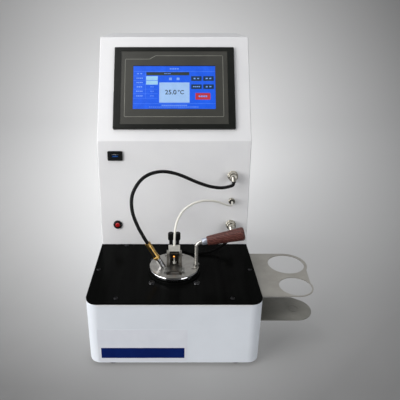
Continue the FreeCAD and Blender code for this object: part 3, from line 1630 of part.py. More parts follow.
def power_entry():
    """The mains inlet and the rocker switch above it."""
    u, reach = inlet_u, s.rear_reach
    inner = rear_v - s.inlet_depth
    flange = block(
        "inlet_flange", (u - s.inlet_width / 2, u + s.inlet_width / 2), (rear_v, rear_v + reach),
        (s.inlet_w - s.inlet_height / 2, s.inlet_w + s.inlet_height / 2),
    )
    body = block(
        "inlet_body", (u - s.inlet_cut_width / 2, u + s.inlet_cut_width / 2), (inner, rear_v),
        (s.inlet_w - s.inlet_cut_height / 2, s.inlet_w + s.inlet_cut_height / 2),
    )
    well = block(
        "inlet_well", (u - s.inlet_well_width / 2, u + s.inlet_well_width / 2),
        (rear_v + reach - s.inlet_well_depth, rear_v + reach + s.overrun),
        (s.inlet_w - s.inlet_well_height / 2, s.inlet_w + s.inlet_well_height / 2),
    )
    shell = cut("inlet_shell", union("inlet_solid", flange, body), well)
    pins = [
        cylinder(
            "inlet_pin_%d" % k, s.inlet_pin_radius, s.inlet_pin_length,
            (u + k * s.inlet_pin_step, rear_v + reach - s.inlet_well_depth, s.inlet_w), TO_BACK,
        )
        for k in (-1, 0, 1)
    ]
    union("power_inlet", shell, *pins)
    frame = union(
        "switch_frame_solid",
        block(
            "switch_flange", (u - s.switch_width / 2, u + s.switch_width / 2), (rear_v, rear_v + reach / 2),
            (s.switch_w - s.switch_height / 2, s.switch_w + s.switch_height / 2),
        ),
        block(
            "switch_body", (u - s.switch_width / 2 + reach, u + s.switch_width / 2 - reach),
            (rear_v - s.switch_depth, rear_v),
            (s.switch_w - s.switch_height / 2 + reach, s.switch_w + s.switch_height / 2 - reach),
        ),
    )
    wide, tall, gap = s.rocker_width / 2, s.rocker_height / 2, s.rocker_gap
    well = block(
        "switch_well", (u - wide - gap, u + wide + gap), (rear_v - s.rocker_sink - gap, rear_v + reach),
        (s.switch_w - tall - gap, s.switch_w + tall + gap),
    )
    pivot = (u - wide - 2 * gap, rear_v - s.rocker_sink / 4, s.switch_w)
    pivot_length = 2 * (wide + 2 * gap)
    bore = cylinder("switch_bore", s.inlet_pin_radius + s.running_gap, pivot_length, pivot, TO_RIGHT)
    cut("switch_frame", frame, well, bore)
    keel = s.rocker_sink / 2
    rocker = padded("rocker_body", "YZ_Plane", [
        (-keel, -tall / 3),
        (reach / 4, -tall + gap),
        (reach / 4, -tall / 2),
        (0, 0),
        (reach * 2 / 3, tall - gap),
        (-keel / 4, tall - gap),
        (-keel, tall / 3),
    ], s.rocker_width, (u - wide, rear_v, s.switch_w))
    pin = cylinder("rocker_pin", s.inlet_pin_radius, pivot_length, pivot, TO_RIGHT)
    union("power_rocker", rocker, pin)


def cooling_fan():
    """The fan behind the back panel's slots."""
    side, depth = s.fan_side, s.fan_depth
    back = rear_v - s.sheet
    axis = (fan_u, back - depth, s.fan_w)
    body = block(
        "fan_body", (fan_u - side / 2, fan_u + side / 2), (back - depth, back),
        (s.fan_w - side / 2, s.fan_w + side / 2),
    )
    ahead = (axis[0], axis[1] - s.overrun, axis[2])
    bore = cylinder("fan_bore", s.fan_bore, depth + 2 * s.overrun, ahead, TO_BACK)
    reach = s.fan_bore + s.overrun
    struts = [
        block(
            "fan_strut_u", (fan_u - reach, fan_u + reach),
            (back - depth, back - depth + s.fan_web), (s.fan_w - s.fan_strut / 2, s.fan_w + s.fan_strut / 2),
        ),
        block(
            "fan_strut_w", (fan_u - s.fan_strut / 2, fan_u + s.fan_strut / 2),
            (back - depth, back - depth + s.fan_web), (s.fan_w - reach, s.fan_w + reach),
        ),
        cylinder("fan_boss", s.fan_boss, s.fan_web, axis, TO_BACK),
    ]
    shaft_hole = cylinder(
        "fan_shaft_hole", s.stud_radius + s.running_gap, s.fan_web + 2 * s.overrun, ahead, TO_BACK
    )
    cut("fan_frame", union("fan_frame_solid", cut("fan_shell", body, bore), *struts), shaft_hole)
    start = s.fan_web + s.rail_gap
    length = depth - s.fan_web - 3 * s.rail_gap
    hub = cylinder("fan_hub", s.fan_hub, length, (axis[0], axis[1] + start, axis[2]), TO_BACK)
    shaft = cylinder("fan_shaft", s.stud_radius, start + s.rail_gap, axis, TO_BACK)
    blades = []
    for k in range(COUNTS["fan_blades"]):
        item = doc.addObject("Part::Box", "fan_blade_%d" % k)
        bind(item, "Length", s.fan_blade_reach - s.fan_hub / 2)
        bind(item, "Width", s.fan_blade_chord)
        bind(item, "Height", s.fan_blade_thick)
        spin = FreeCAD.Rotation(FreeCAD.Vector(0, 1, 0), 360 * (k + 0.5) / COUNTS["fan_blades"])
        out = spin.multVec(FreeCAD.Vector(1, 0, 0))
        turn = spin.multiply(FreeCAD.Rotation(FreeCAD.Vector(1, 0, 0), SIZES["fan_pitch"]))
        chord = turn.multVec(FreeCAD.Vector(0, 1, 0))
        upward = turn.multVec(FreeCAD.Vector(0, 0, 1))
        middle = (axis[0], axis[1] + start + length / 2, axis[2])
        root_at = [
            middle[n] + s.fan_hub / 2 * tidy(out[n])
            - s.fan_blade_chord / 2 * tidy(chord[n]) - s.fan_blade_thick / 2 * tidy(upward[n])
            for n in range(3)
        ]
        place(item, root_at, turn)
        blades.append(item)
    union("fan_rotor", hub, shaft, *blades)


def board_spans():
    """The control board's spans to the right and to the back."""
    us = (s.board_u - s.board_width / 2, s.board_u + s.board_width / 2)
    return us, (s.board_v, s.board_v + s.board_length)


def electronics():
    """The power supply, and the control board on its standoffs."""
    block(
        "power_supply", (-s.supply_u - s.supply_width, -s.supply_u),
        (s.supply_v, s.supply_v + s.supply_length), (floor_w, floor_w + s.supply_height),
    )
    low = floor_w + s.standoff_height
    us, vs = board_spans()
    pieces = [block("board_sheet", us, vs, (low, low + s.board_thick))]
    pitch = s.board_length / (COUNTS["board_chips"] + 1)
    for k in range(COUNTS["board_chips"]):
        v = s.board_v + (k + 1) * pitch
        pieces.append(block(
            "board_chip_%d" % k, (s.board_u - pitch / 2, s.board_u + pitch / 2),
            (v - pitch / 4, v + pitch / 4),
            (low + s.board_thick, low + s.board_thick + s.standoff_height / (k + 1)),
        ))
    union("control_board", *pieces)


base_shell()
bottom_plate()
feet()
top_plate()
plate_screws()
bath()
test_cup()
lid()
shutter()
lid_fasteners()
igniter_frame()
lead_gland()
igniter_arm()
igniter_coil()
gas_nozzle()
terminals()
probe()
handle()
cords()
tower_cover()
tower_sides()
operator_panel()
data_port()
status_lamp()
connector(
    "sensor", s.sensor_up, s.boot_radius, s.boot_end_radius, s.boot_length,
    s.probe_cable_radius + s.fit_gap,
)
connector(
    "igniter", s.igniter_up, s.igniter_boot_radius, s.igniter_boot_end, s.igniter_boot_length,
    s.igniter_cable_radius + s.fit_gap,
)
gas_fitting()
side_shelf()
rear_panel()
group("case_screws", shelf_screws() + rear_screws())
power_entry()
cooling_fan()
electronics()

NODES = [
    "base_shell", "bottom_plate", "feet", "top_plate", "plate_screws",
    "seat_ring", "bath_block", "band_heater", "bath_insulation", "test_cup",
    "lid_plate", "lid_rim", "shutter_slide", "shutter_rails", "lid_fasteners",
    "igniter_frame", "igniter_arm", "igniter_pin", "igniter_coil", "gas_nozzle", "lead_gland",
    "terminal_block", "terminal_studs", "terminal_knob_left", "terminal_knob_right",
    "probe_socket", "probe_sleeve", "probe_stem", "handle_rod", "handle_grip",
    "probe_cable", "gas_tube", "igniter_lead",
    "tower_cover", "tower_side_panels", "rear_panel", "case_screws",
    "panel_bezel", "panel_overlay", "touch_screen", "panel_housing",
    "data_port", "lamp_bezel", "lamp_lens",
    "sensor_socket", "sensor_coupling_nut", "sensor_plug",
    "igniter_socket", "igniter_coupling_nut", "igniter_plug", "gas_fitting", "gas_collet",
    "side_shelf", "power_inlet", "switch_frame", "power_rocker",
    "fan_frame", "fan_rotor", "power_supply", "control_board",
]

doc.recompute()
faults = [item.Name for item in doc.Objects if "Invalid" in item.State or "Error" in item.State]
if faults:
    raise RuntimeError("failed objects: " + ", ".join(faults))
for name in NODES:
    item = doc.getObject(name)
    item.Label = name
    if item.Shape.isNull() or not item.Shape.isValid():
        raise RuntimeError("bad shape: " + name)
    item.Shape.exportStep("parts/%s.step" % name)
print("%d pieces written" % len(NODES))
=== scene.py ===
import math

import bmesh
import bpy
from mathutils import Matrix, Vector


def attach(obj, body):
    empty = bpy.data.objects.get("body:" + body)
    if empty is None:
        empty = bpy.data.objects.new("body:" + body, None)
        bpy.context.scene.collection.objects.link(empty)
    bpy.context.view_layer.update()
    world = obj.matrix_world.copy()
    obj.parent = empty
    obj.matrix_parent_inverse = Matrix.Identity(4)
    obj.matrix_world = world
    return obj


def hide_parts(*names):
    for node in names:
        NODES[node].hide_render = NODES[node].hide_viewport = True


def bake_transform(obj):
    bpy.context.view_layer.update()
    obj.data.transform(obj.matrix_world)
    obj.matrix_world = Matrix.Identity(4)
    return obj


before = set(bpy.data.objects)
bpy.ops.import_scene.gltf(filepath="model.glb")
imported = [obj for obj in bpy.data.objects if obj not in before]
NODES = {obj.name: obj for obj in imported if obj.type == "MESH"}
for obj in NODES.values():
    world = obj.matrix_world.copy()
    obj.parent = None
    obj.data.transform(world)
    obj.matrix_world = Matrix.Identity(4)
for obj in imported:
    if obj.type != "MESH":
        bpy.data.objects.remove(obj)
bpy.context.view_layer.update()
MM = 0.001

# Where the body's middle and its front edge lie in the shared frame, in millimetres
BODY_MIDDLE, BODY_FRONT = -52.3, -254.25
ACROSS, BACK, UP = Vector((1, 0, 0)), Vector((0, 1, 0)), Vector((0, 0, 1))


def at(u, v, w):
    """A place in millimetres, measured from the body's middle, its front edge and the bench."""
    return Vector((BODY_MIDDLE + u, BODY_FRONT + v, w)) * MM


class Face:
    """A flat face of the object: a place on it, and the directions up it, out of it and across it."""

    def __init__(self, origin, up, out, across=ACROSS):
        self.origin, self.up, self.out, self.across = origin, up, out, across

    def at(self, across, up, out=0.0):
        return self.origin + (self.across * across + self.up * up + self.out * out) * MM


# The tower's side outline, each corner as (back, up) in millimetres
BASE_TOP = 126.5
TOWER_FOOT, TOWER_KNEE, TOWER_BROW = (196.0, BASE_TOP), (213.0, 331.0), (327.5, 505.5)
TOWER_REACH, TOWER_REAR = 142.5, 504.4


def sloping(foot, top):
    """The tower's face between two corners of its side outline."""
    lean, rise = top[0] - foot[0], top[1] - foot[1]
    length = math.hypot(lean, rise)
    return Face(at(0, *foot), Vector((0, lean, rise)) / length, Vector((0, -rise, lean)) / length)


LOWER = sloping(TOWER_FOOT, TOWER_KNEE)
UPPER = sloping(TOWER_KNEE, TOWER_BROW)
FRONT = Face(at(0, 0, 0), UP, -BACK)

# The lid's middle, back from the front edge, and its upper face above the bench
LID_MIDDLE, LID_TOP = 96.5, 138.5
LID_FACE = Face(at(0, 0, LID_TOP), BACK, UP)

# The probe's side that faces the front, measured along the leaning probe from the lid
PROBE_LEAN = math.radians(29.0)
PROBE_SIDE = Face(at(-20.6, 92.0, LID_TOP), Vector((-math.sin(PROBE_LEAN), 0, math.cos(PROBE_LEAN))), -BACK,
                  Vector((math.cos(PROBE_LEAN), 0, math.sin(PROBE_LEAN))))

# The operator panel, measured from its middle. Its seat, screen and overlay stand out of the upper face.
PANEL_UP = 103.4
PANEL = Face(UPPER.at(0, PANEL_UP), UPPER.up, UPPER.out)
SEAT = 4.3
SCREEN_TOP = SEAT + 0.6
OVERLAY_TOP = SEAT + 0.8

# The camera, fitted to the panel's outline and to the corners of the base and the tower
EYE = Vector((-0.0523, -0.84095, 0.5483))
PITCH = math.radians(22.7)
FOCAL, SENSOR, SHIFT = 40.28, 36.0, 0.0643
lens = bpy.data.cameras.new("camera")
lens.lens = FOCAL
lens.sensor_width = SENSOR
lens.shift_x = SHIFT
lens.clip_start = 0.05
lens.clip_end = 60.0
camera = bpy.data.objects.new("camera", lens)
bpy.context.scene.collection.objects.link(camera)
camera.location = EYE
camera.rotation_euler = (math.pi / 2 - PITCH, 0.0, 0.0)
bpy.context.scene.camera = camera


def add(name, mesh, finish):
    piece = bpy.data.objects.new(name, mesh)
    bpy.context.scene.collection.objects.link(piece)
    mesh.materials.append(finish)
    return piece


def dress(name, mesh, finish, body, instead_of=()):
    """A piece that rides on a body, takes its finish and stands instead of the named nodes."""
    piece = add(name, mesh, finish)
    if instead_of:
        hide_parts(*instead_of)
    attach(piece, body)


def mesh_of(name, build):
    """A mesh filled by a function that gets an empty bmesh."""
    bm = bmesh.new()
    build(bm)
    bmesh.ops.recalc_face_normals(bm, faces=bm.faces)
    mesh = bpy.data.meshes.new(name)
    bm.to_mesh(mesh)
    bm.free()
    return mesh


def bridge(bm, low, high):
    """Faces between two rings with as many points."""
    for n in range(len(low)):
        m = (n + 1) % len(low)
        bm.faces.new((low[n], low[m], high[m], high[n]))


def smooth(mesh, angle):
    """Smooth faces, with edges sharper than the angle kept sharp."""
    mesh.shade_smooth()
    mesh.set_sharp_from_angle(angle=math.radians(angle))
    return mesh


# Procedural finishes. A noise texture stays mostly between these two values.
NOISE_LOW, NOISE_HIGH = 0.3, 0.7
COAT_ROUGH = 0.1


def new_finish(name):
    """A finish with one shader, and the object's own coordinates for its textures."""
    finish = bpy.data.materials.new(name)
    finish.use_nodes = True
    tree = finish.node_tree
    tree.nodes.clear()
    out = tree.nodes.new("ShaderNodeOutputMaterial")
    shader = tree.nodes.new("ShaderNodeBsdfPrincipled")
    tree.links.new(shader.outputs["BSDF"], out.inputs["Surface"])
    place = tree.nodes.new("ShaderNodeTexCoord")
    return finish, tree, shader, place.outputs["Object"]


def mapped(tree, place, scale=(1, 1, 1), turn=(0, 0, 0)):
    """Coordinates scaled and turned for a texture."""
    node = tree.nodes.new("ShaderNodeMapping")
    node.inputs["Scale"].default_value = scale
    node.inputs["Rotation"].default_value = turn
    tree.links.new(place, node.inputs["Vector"])
    return node.outputs["Vector"]


def noise(tree, place, scale, detail=3.0, rough=0.55):
    """A soft noise, its scale in waves per metre."""
    node = tree.nodes.new("ShaderNodeTexNoise")
    node.inputs["Scale"].default_value = scale
    node.inputs["Detail"].default_value = detail
    node.inputs["Roughness"].default_value = rough
    tree.links.new(place, node.inputs["Vector"])
    return node.outputs["Fac"]


def srgb(red, green, blue):
    """A colour written as it shows, from 0 to 255, in linear light."""
    return tuple(linear(level / 255) for level in (red, green, blue))


def linear(level):
    """A shown level, from 0 to 1, in linear light."""
    return level / 12.92 if level <= 0.04045 else ((level + 0.055) / 1.055) ** 2.4


def ramp(tree, fac, stops):
    """Colours along a value, each stop as its position and its linear tone."""
    node = tree.nodes.new("ShaderNodeValToRGB")
    edge = node.color_ramp
    while len(edge.elements) < len(stops):
        edge.elements.new(0.5)
    for element, (place, tone) in zip(edge.elements, stops):
        element.position = place
        element.color = (*tone, 1.0)
    tree.links.new(fac, node.inputs["Fac"])
    return node.outputs["Color"]


def drift(tree, fac, dark, light):
    """A colour that a noise moves between two tones, each from 0 to 255."""
    return ramp(tree, fac, [(NOISE_LOW, srgb(*dark)), (NOISE_HIGH, srgb(*light))])


def ranged(tree, value, low, high, start, end, way="LINEAR"):
    """A value's way from low to high turned into the way from start to end."""
    node = tree.nodes.new("ShaderNodeMapRange")
    node.interpolation_type = way
    for socket, number in (("From Min", low), ("From Max", high), ("To Min", start), ("To Max", end)):
        node.inputs[socket].default_value = number
    tree.links.new(value, node.inputs["Value"])
    return node.outputs["Result"]


def spread(tree, fac, low, high):
    """A number that a noise moves between two values."""
    return ranged(tree, fac, NOISE_LOW, NOISE_HIGH, low, high)


def joined(tree, operation, first, second):
    """Two values joined by one sum, product or choice."""
    node = tree.nodes.new("ShaderNodeMath")
    node.operation = operation
    tree.links.new(first, node.inputs[0])
    tree.links.new(second, node.inputs[1])
    return node.outputs["Value"]


def mixed(tree, first, second, blend="MIX"):
    """A node that mixes two colours."""
    node = tree.nodes.new("ShaderNodeMix")
    node.data_type = "RGBA"
    node.blend_type = blend
    tree.links.new(first, node.inputs["A"])
    tree.links.new(second, node.inputs["B"])
    return node


def bumped(tree, shader, fac, depth, strength):
    """Relief from a value, its depth in millimetres."""
    node = tree.nodes.new("ShaderNodeBump")
    node.inputs["Strength"].default_value = strength
    node.inputs["Distance"].default_value = depth * MM
    tree.links.new(fac, node.inputs["Height"])
    tree.links.new(node.outputs["Normal"], shader.inputs["Normal"])


def finish_of(name, dark, light, rough, metal=0.0, cloud=30.0, stretch=(1, 1, 1), grain=900.0,
              depth=0.02, strength=0.3, specular=0.5, coat=0.0, sheen=0.0):
    """A finish whose colour drifts between two near tones, with a fine grain in gloss and relief."""
    finish, tree, shader, place = new_finish(name)
    wide = noise(tree, mapped(tree, place, stretch), cloud)
    tree.links.new(drift(tree, wide, dark, light), shader.inputs["Base Color"])
    fine = noise(tree, mapped(tree, place, stretch), grain, detail=2.0)
    tree.links.new(spread(tree, fine, *rough), shader.inputs["Roughness"])
    bumped(tree, shader, fine, depth, strength)
    shader.inputs["Metallic"].default_value = metal
    shader.inputs["Specular IOR Level"].default_value = specular
    shader.inputs["Coat Weight"].default_value = coat
    shader.inputs["Coat Roughness"].default_value = COAT_ROUGH
    shader.inputs["Sheen Weight"].default_value = sheen
    return finish


WHITE = finish_of("paint_white", (226, 226, 228), (231, 231, 232), (0.36, 0.46),
                  cloud=14.0, grain=1400.0, depth=0.03, strength=0.12)
BASE_WHITE = finish_of("paint_base", (224, 229, 236), (230, 235, 242), (0.3, 0.4),
                       cloud=14.0, grain=1400.0, depth=0.03, strength=0.12)
# The deck's tone drifts in streaks along its depth: painted streaks of reflection on the black plate.
DECK_PAINTED_STREAKS = finish_of("deck_black_painted_streaks", (6, 6, 6), (13, 14, 13), (0.14, 0.22), cloud=60.0,
                 stretch=(1, 0.05, 1), grain=1600.0, depth=0.01, strength=0.05, specular=0.01)
BLACK = finish_of("plastic_black", (8, 8, 9), (16, 16, 17), (0.34, 0.46), cloud=60.0,
                  grain=2200.0, strength=0.25, specular=0.3)
RUBBER = finish_of("rubber_black", (5, 5, 6), (11, 11, 12), (0.5, 0.62), cloud=120.0,
                   grain=2600.0, depth=0.03, specular=0.2)
BEZEL = finish_of("bezel_black", (17, 19, 17), (25, 27, 24), (0.28, 0.36), cloud=40.0,
                  grain=2400.0, strength=0.2, specular=0.3)
OVERLAY = finish_of("overlay_grey", (56, 56, 52), (63, 63, 58), (0.28, 0.36), grain=2600.0, strength=0.2)
STEEL = finish_of("steel_brushed", (142, 139, 132), (160, 157, 150), (0.3, 0.42), 1.0,
                  cloud=60.0, stretch=(1, 8, 8), grain=500.0, strength=0.25)
CHROME = finish_of("steel_polished", (205, 205, 208), (222, 222, 224), (0.08, 0.16), 1.0,
                   cloud=80.0, grain=1800.0, depth=0.01, strength=0.05)
BRASS = finish_of("brass", (176, 140, 78), (206, 170, 100), (0.3, 0.4), 1.0, cloud=180.0,
                  grain=1600.0, strength=0.2)
NICKEL = finish_of("nickel", (176, 172, 160), (200, 196, 184), (0.16, 0.26), 1.0,
                   cloud=140.0, grain=1800.0, depth=0.01, strength=0.1)
ALUMINIUM = finish_of("bath_aluminium", (150, 151, 152), (170, 171, 172), (0.35, 0.48), 1.0,
                      cloud=50.0, grain=1500.0, strength=0.2)
FELT = finish_of("insulation_felt", (196, 190, 176), (216, 211, 198), (0.85, 0.95),
                 cloud=160.0, depth=0.3, strength=0.8, specular=0.1, sheen=0.3)
SCREW = finish_of("screw_black", (26, 26, 28), (40, 40, 42), (0.3, 0.4), 0.6,
                  cloud=300.0, grain=2400.0, depth=0.01, strength=0.15)
DARK_STEEL = finish_of("steel_dark", (60, 56, 50), (84, 79, 72), (0.28, 0.4), 1.0,
                       cloud=240.0, grain=1800.0, strength=0.2)
GREY_STEEL = finish_of("steel_grey", (132, 132, 128), (158, 158, 154), (0.26, 0.38), 1.0,
                       cloud=200.0, grain=1800.0, strength=0.2)
SATIN = finish_of("steel_satin", (196, 194, 188), (216, 214, 208), (0.24, 0.32), 0.85,
                  cloud=160.0, grain=2000.0, depth=0.01, strength=0.1)
KNOB = finish_of("knob_black", (4, 4, 5), (9, 9, 10), (0.3, 0.4), cloud=90.0,
                 grain=2200.0, strength=0.2, specular=0.15)
LEAD = finish_of("lead_black", (6, 6, 6), (11, 11, 11), (0.6, 0.7), cloud=120.0,
                 grain=2600.0, strength=0.2, specular=0.03)
# Painted shade: a dark finish for the depths of the lid's window and the sleeve's slot.
SLOT_PAINTED_SHADE = finish_of("slot_painted_shade", (30, 28, 26), (44, 42, 39), (0.4, 0.5), cloud=300.0,
                 grain=2200.0, depth=0.01, strength=0.1, specular=0.2)
RING = finish_of("screw_rim", (78, 78, 80), (104, 104, 106), (0.22, 0.32), 1.0,
                 cloud=300.0, grain=2400.0, depth=0.01, strength=0.1)
FERRULE = finish_of("ferrule_satin", (158, 164, 176), (178, 184, 196), (0.26, 0.34), 0.6,
                    cloud=160.0, grain=2000.0, depth=0.01, strength=0.1)
NOZZLE = finish_of("nozzle_pale", (170, 168, 160), (190, 188, 180), (0.35, 0.45), 0.4,
                   cloud=200.0, grain=1800.0, strength=0.2)
TUBE = finish_of("tube_white", (224, 222, 212), (234, 232, 224), (0.3, 0.38), cloud=60.0,
                 grain=1800.0, depth=0.01, strength=0.1)
NAVY = finish_of("label_navy", (4, 26, 88), (9, 33, 97), (0.4, 0.5), cloud=60.0,
                 grain=2200.0, depth=0.01, strength=0.1, specular=0.08)
LABEL = finish_of("label_sheet", (222, 225, 233), (228, 231, 238), (0.34, 0.42), cloud=40.0,
                  grain=1800.0, depth=0.01, strength=0.1)
GREEN = finish_of("board_green", (20, 74, 44), (30, 92, 56), (0.35, 0.5), cloud=90.0,
                  grain=1800.0, strength=0.2)
TONGUE = finish_of("port_blue", (12, 66, 138), (18, 78, 152), (0.34, 0.44), cloud=90.0,
                   grain=2200.0, depth=0.01, strength=0.1)
LENS = finish_of("lens_red", (146, 8, 10), (184, 14, 17), (0.12, 0.2), cloud=300.0,
                 depth=0.05, coat=0.6)
PRINT = finish_of("print_grey", (122, 122, 114), (136, 136, 128), (0.4, 0.5), cloud=90.0,
                  grain=2200.0, depth=0.01, strength=0.1)


def two_tone(name, low, high, below, above, rough, metals, cloud=260.0):
    """A finish that turns from one pair of tones to another between two heights in millimetres."""
    finish, tree, shader, place = new_finish(name)
    parts = tree.nodes.new("ShaderNodeSeparateXYZ")
    tree.links.new(place, parts.inputs["Vector"])
    turn = ranged(tree, parts.outputs["Z"], low * MM, high * MM, 0.0, 1.0)
    stain = noise(tree, place, cloud, detail=4.0, rough=0.6)
    mix = mixed(tree, drift(tree, stain, *below), drift(tree, stain, *above))
    tree.links.new(turn, mix.inputs["Factor"])
    tree.links.new(mix.outputs["Result"], shader.inputs["Base Color"])
    tree.links.new(ranged(tree, turn, 0.0, 1.0, *metals), shader.inputs["Metallic"])
    fine = noise(tree, place, 1800.0, detail=2.0)
    tree.links.new(spread(tree, fine, *rough), shader.inputs["Roughness"])
    bumped(tree, shader, fine, 0.02, 0.2)
    return finish


BLACK_BOOT, BRIGHT_SHELL = ((14, 14, 16), (24, 24, 27)), ((176, 172, 162), (198, 194, 184))
# One steel igniter frame: painted shade darkens its cheeks below the cap, and its cap is painted pale as if
# lit.
CHEEK_PAINTED_SHADE = two_tone("igniter_metal_painted_shade", 158.0, 164.5, ((66, 63, 57), (92, 88, 81)),
                 ((192, 190, 182), (212, 210, 202)), (0.42, 0.52), (0.2, 0.2))
SENSOR_SHELL = two_tone("sensor_backshell", 262.0, 262.4, BLACK_BOOT, BRIGHT_SHELL,
                        (0.26, 0.36), (0.0, 1.0))
IGNITER_SHELL = two_tone("igniter_backshell", 167.2, 167.6, BLACK_BOOT, BRIGHT_SHELL,
                         (0.26, 0.36), (0.0, 1.0))
# The shelf's lower tray is painted darker than its upper plate: painted shade under the plate above.
SHELF_PAINTED_SHADE = two_tone("shelf_steel_painted_shade", 70.0, 118.0, ((122, 121, 115), (140, 139, 132)),
                 ((156, 153, 146), (172, 169, 162)), (0.42, 0.55), (0.4, 0.4), 26.0)


def glowing(name, dark, light, strength):
    """A lit print on the screen: a colour that drifts a little and gives off its own light."""
    finish, tree, shader, place = new_finish(name)
    tone = drift(tree, noise(tree, place, 60.0), dark, light)
    tree.links.new(tone, shader.inputs["Base Color"])
    tree.links.new(tone, shader.inputs["Emission Color"])
    shader.inputs["Emission Strength"].default_value = strength
    fine = noise(tree, place, 2600.0, detail=1.0)
    tree.links.new(spread(tree, fine, 0.25, 0.35), shader.inputs["Roughness"])
    bumped(tree, shader, fine, 0.01, 0.05)
    return finish


SCREEN = glowing("screen_blue", (10, 62, 166), (18, 70, 178), 1.0)
READOUT = glowing("screen_readout", (138, 170, 210), (146, 178, 218), 0.3)
PALE = glowing("screen_pale", (136, 180, 210), (146, 190, 218), 0.3)
LINES = glowing("screen_lines", (64, 112, 216), (76, 124, 224), 0.35)
MARKS = glowing("screen_marks", (96, 136, 214), (112, 150, 220), 0.3)
BUTTON = glowing("screen_button", (20, 44, 66), (28, 54, 78), 0.2)
OLIVE = glowing("screen_bar", (40, 50, 46), (50, 60, 54), 0.15)
STOP = glowing("screen_stop", (160, 40, 52), (176, 50, 60), 0.3)
DIGITS = glowing("screen_digits", (14, 20, 36), (22, 28, 44), 0.0)


def hot_wire():
    """The igniter's wire: glowing in the middle of its eye and dark towards its ends."""
    heart = at(-0.6, 96.0, 155.9)
    core, fade, strength = 0.6 * MM, 1.7 * MM, 4.0
    finish, tree, shader, place = new_finish("coil_glow")
    away = tree.nodes.new("ShaderNodeVectorMath")
    away.operation = "DISTANCE"
    away.inputs[1].default_value = heart
    tree.links.new(place, away.inputs[0])
    heat = ranged(tree, away.outputs["Value"], core, fade, strength, 0.0)
    tree.links.new(heat, shader.inputs["Emission Strength"])
    grain = noise(tree, place, 900.0)
    tree.links.new(drift(tree, grain, (255, 132, 40), (255, 176, 84)), shader.inputs["Emission Color"])
    tree.links.new(drift(tree, grain, (70, 60, 52), (96, 82, 70)), shader.inputs["Base Color"])
    shader.inputs["Metallic"].default_value = 1.0
    shader.inputs["Roughness"].default_value = 0.4
    return finish


def wood():
    """Dark reddish burr wood under a thin lacquer, its figure slanting across the grip."""
    finish, tree, shader, place = new_finish("grip_wood")
    wave = tree.nodes.new("ShaderNodeTexWave")
    wave.wave_type = "BANDS"
    wave.bands_direction = "DIAGONAL"
    wave.inputs["Scale"].default_value = 90.0
    wave.inputs["Distortion"].default_value = 9.0
    wave.inputs["Detail"].default_value = 3.0
    wave.inputs["Detail Scale"].default_value = 1.6
    tree.links.new(mapped(tree, place, turn=(0.0, math.radians(24), 0.0)), wave.inputs["Vector"])
    tone = ramp(tree, wave.outputs["Fac"], [
        (0.0, srgb(70, 38, 34)), (0.45, srgb(82, 46, 41)), (0.75, srgb(92, 54, 48)),
        (1.0, srgb(104, 64, 57)),
    ])
    pores = noise(tree, place, 900.0, detail=4.0, rough=0.7)
    darker = ramp(tree, pores, [(0.35, (0.45, 0.42, 0.4)), (0.6, (1.0, 1.0, 1.0))])
    mix = mixed(tree, tone, darker, "MULTIPLY")
    mix.inputs["Factor"].default_value = 0.5
    tree.links.new(mix.outputs["Result"], shader.inputs["Base Color"])
    tree.links.new(spread(tree, pores, 0.34, 0.5), shader.inputs["Roughness"])
    bumped(tree, shader, pores, 0.04, 0.3)
    shader.inputs["Specular IOR Level"].default_value = 0.25
    shader.inputs["Coat Weight"].default_value = 0.1
    shader.inputs["Coat Roughness"].default_value = 0.25
    return finish


def lid_steel():
    """The lid's steel: fine turning marks about its middle over a cloudy, handled surface."""
    finish, tree, shader, place = new_finish("lid_steel")
    shift = tree.nodes.new("ShaderNodeVectorMath")
    shift.operation = "SUBTRACT"
    shift.inputs[1].default_value = at(0, LID_MIDDLE, 0)
    tree.links.new(place, shift.inputs[0])
    radius = tree.nodes.new("ShaderNodeVectorMath")
    radius.operation = "LENGTH"
    tree.links.new(mapped(tree, shift.outputs["Vector"], (1, 1, 0)), radius.inputs[0])
    rings = tree.nodes.new("ShaderNodeTexNoise")
    rings.noise_dimensions = "1D"
    rings.inputs["Scale"].default_value = 1500.0
    rings.inputs["Detail"].default_value = 2.0
    tree.links.new(radius.outputs["Value"], rings.inputs["W"])
    cloud = noise(tree, place, 70.0, detail=4.0, rough=0.6)
    tone = drift(tree, cloud, (150, 148, 143), (176, 174, 169))
    tree.links.new(tone, shader.inputs["Base Color"])
    tree.links.new(spread(tree, rings.outputs["Fac"], 0.3, 0.4), shader.inputs["Roughness"])
    bumped(tree, shader, rings.outputs["Fac"], 0.01, 0.15)
    shader.inputs["Metallic"].default_value = 1.0
    return finish


GLOW, WOOD, LID_STEEL = hot_wire(), wood(), lid_steel()

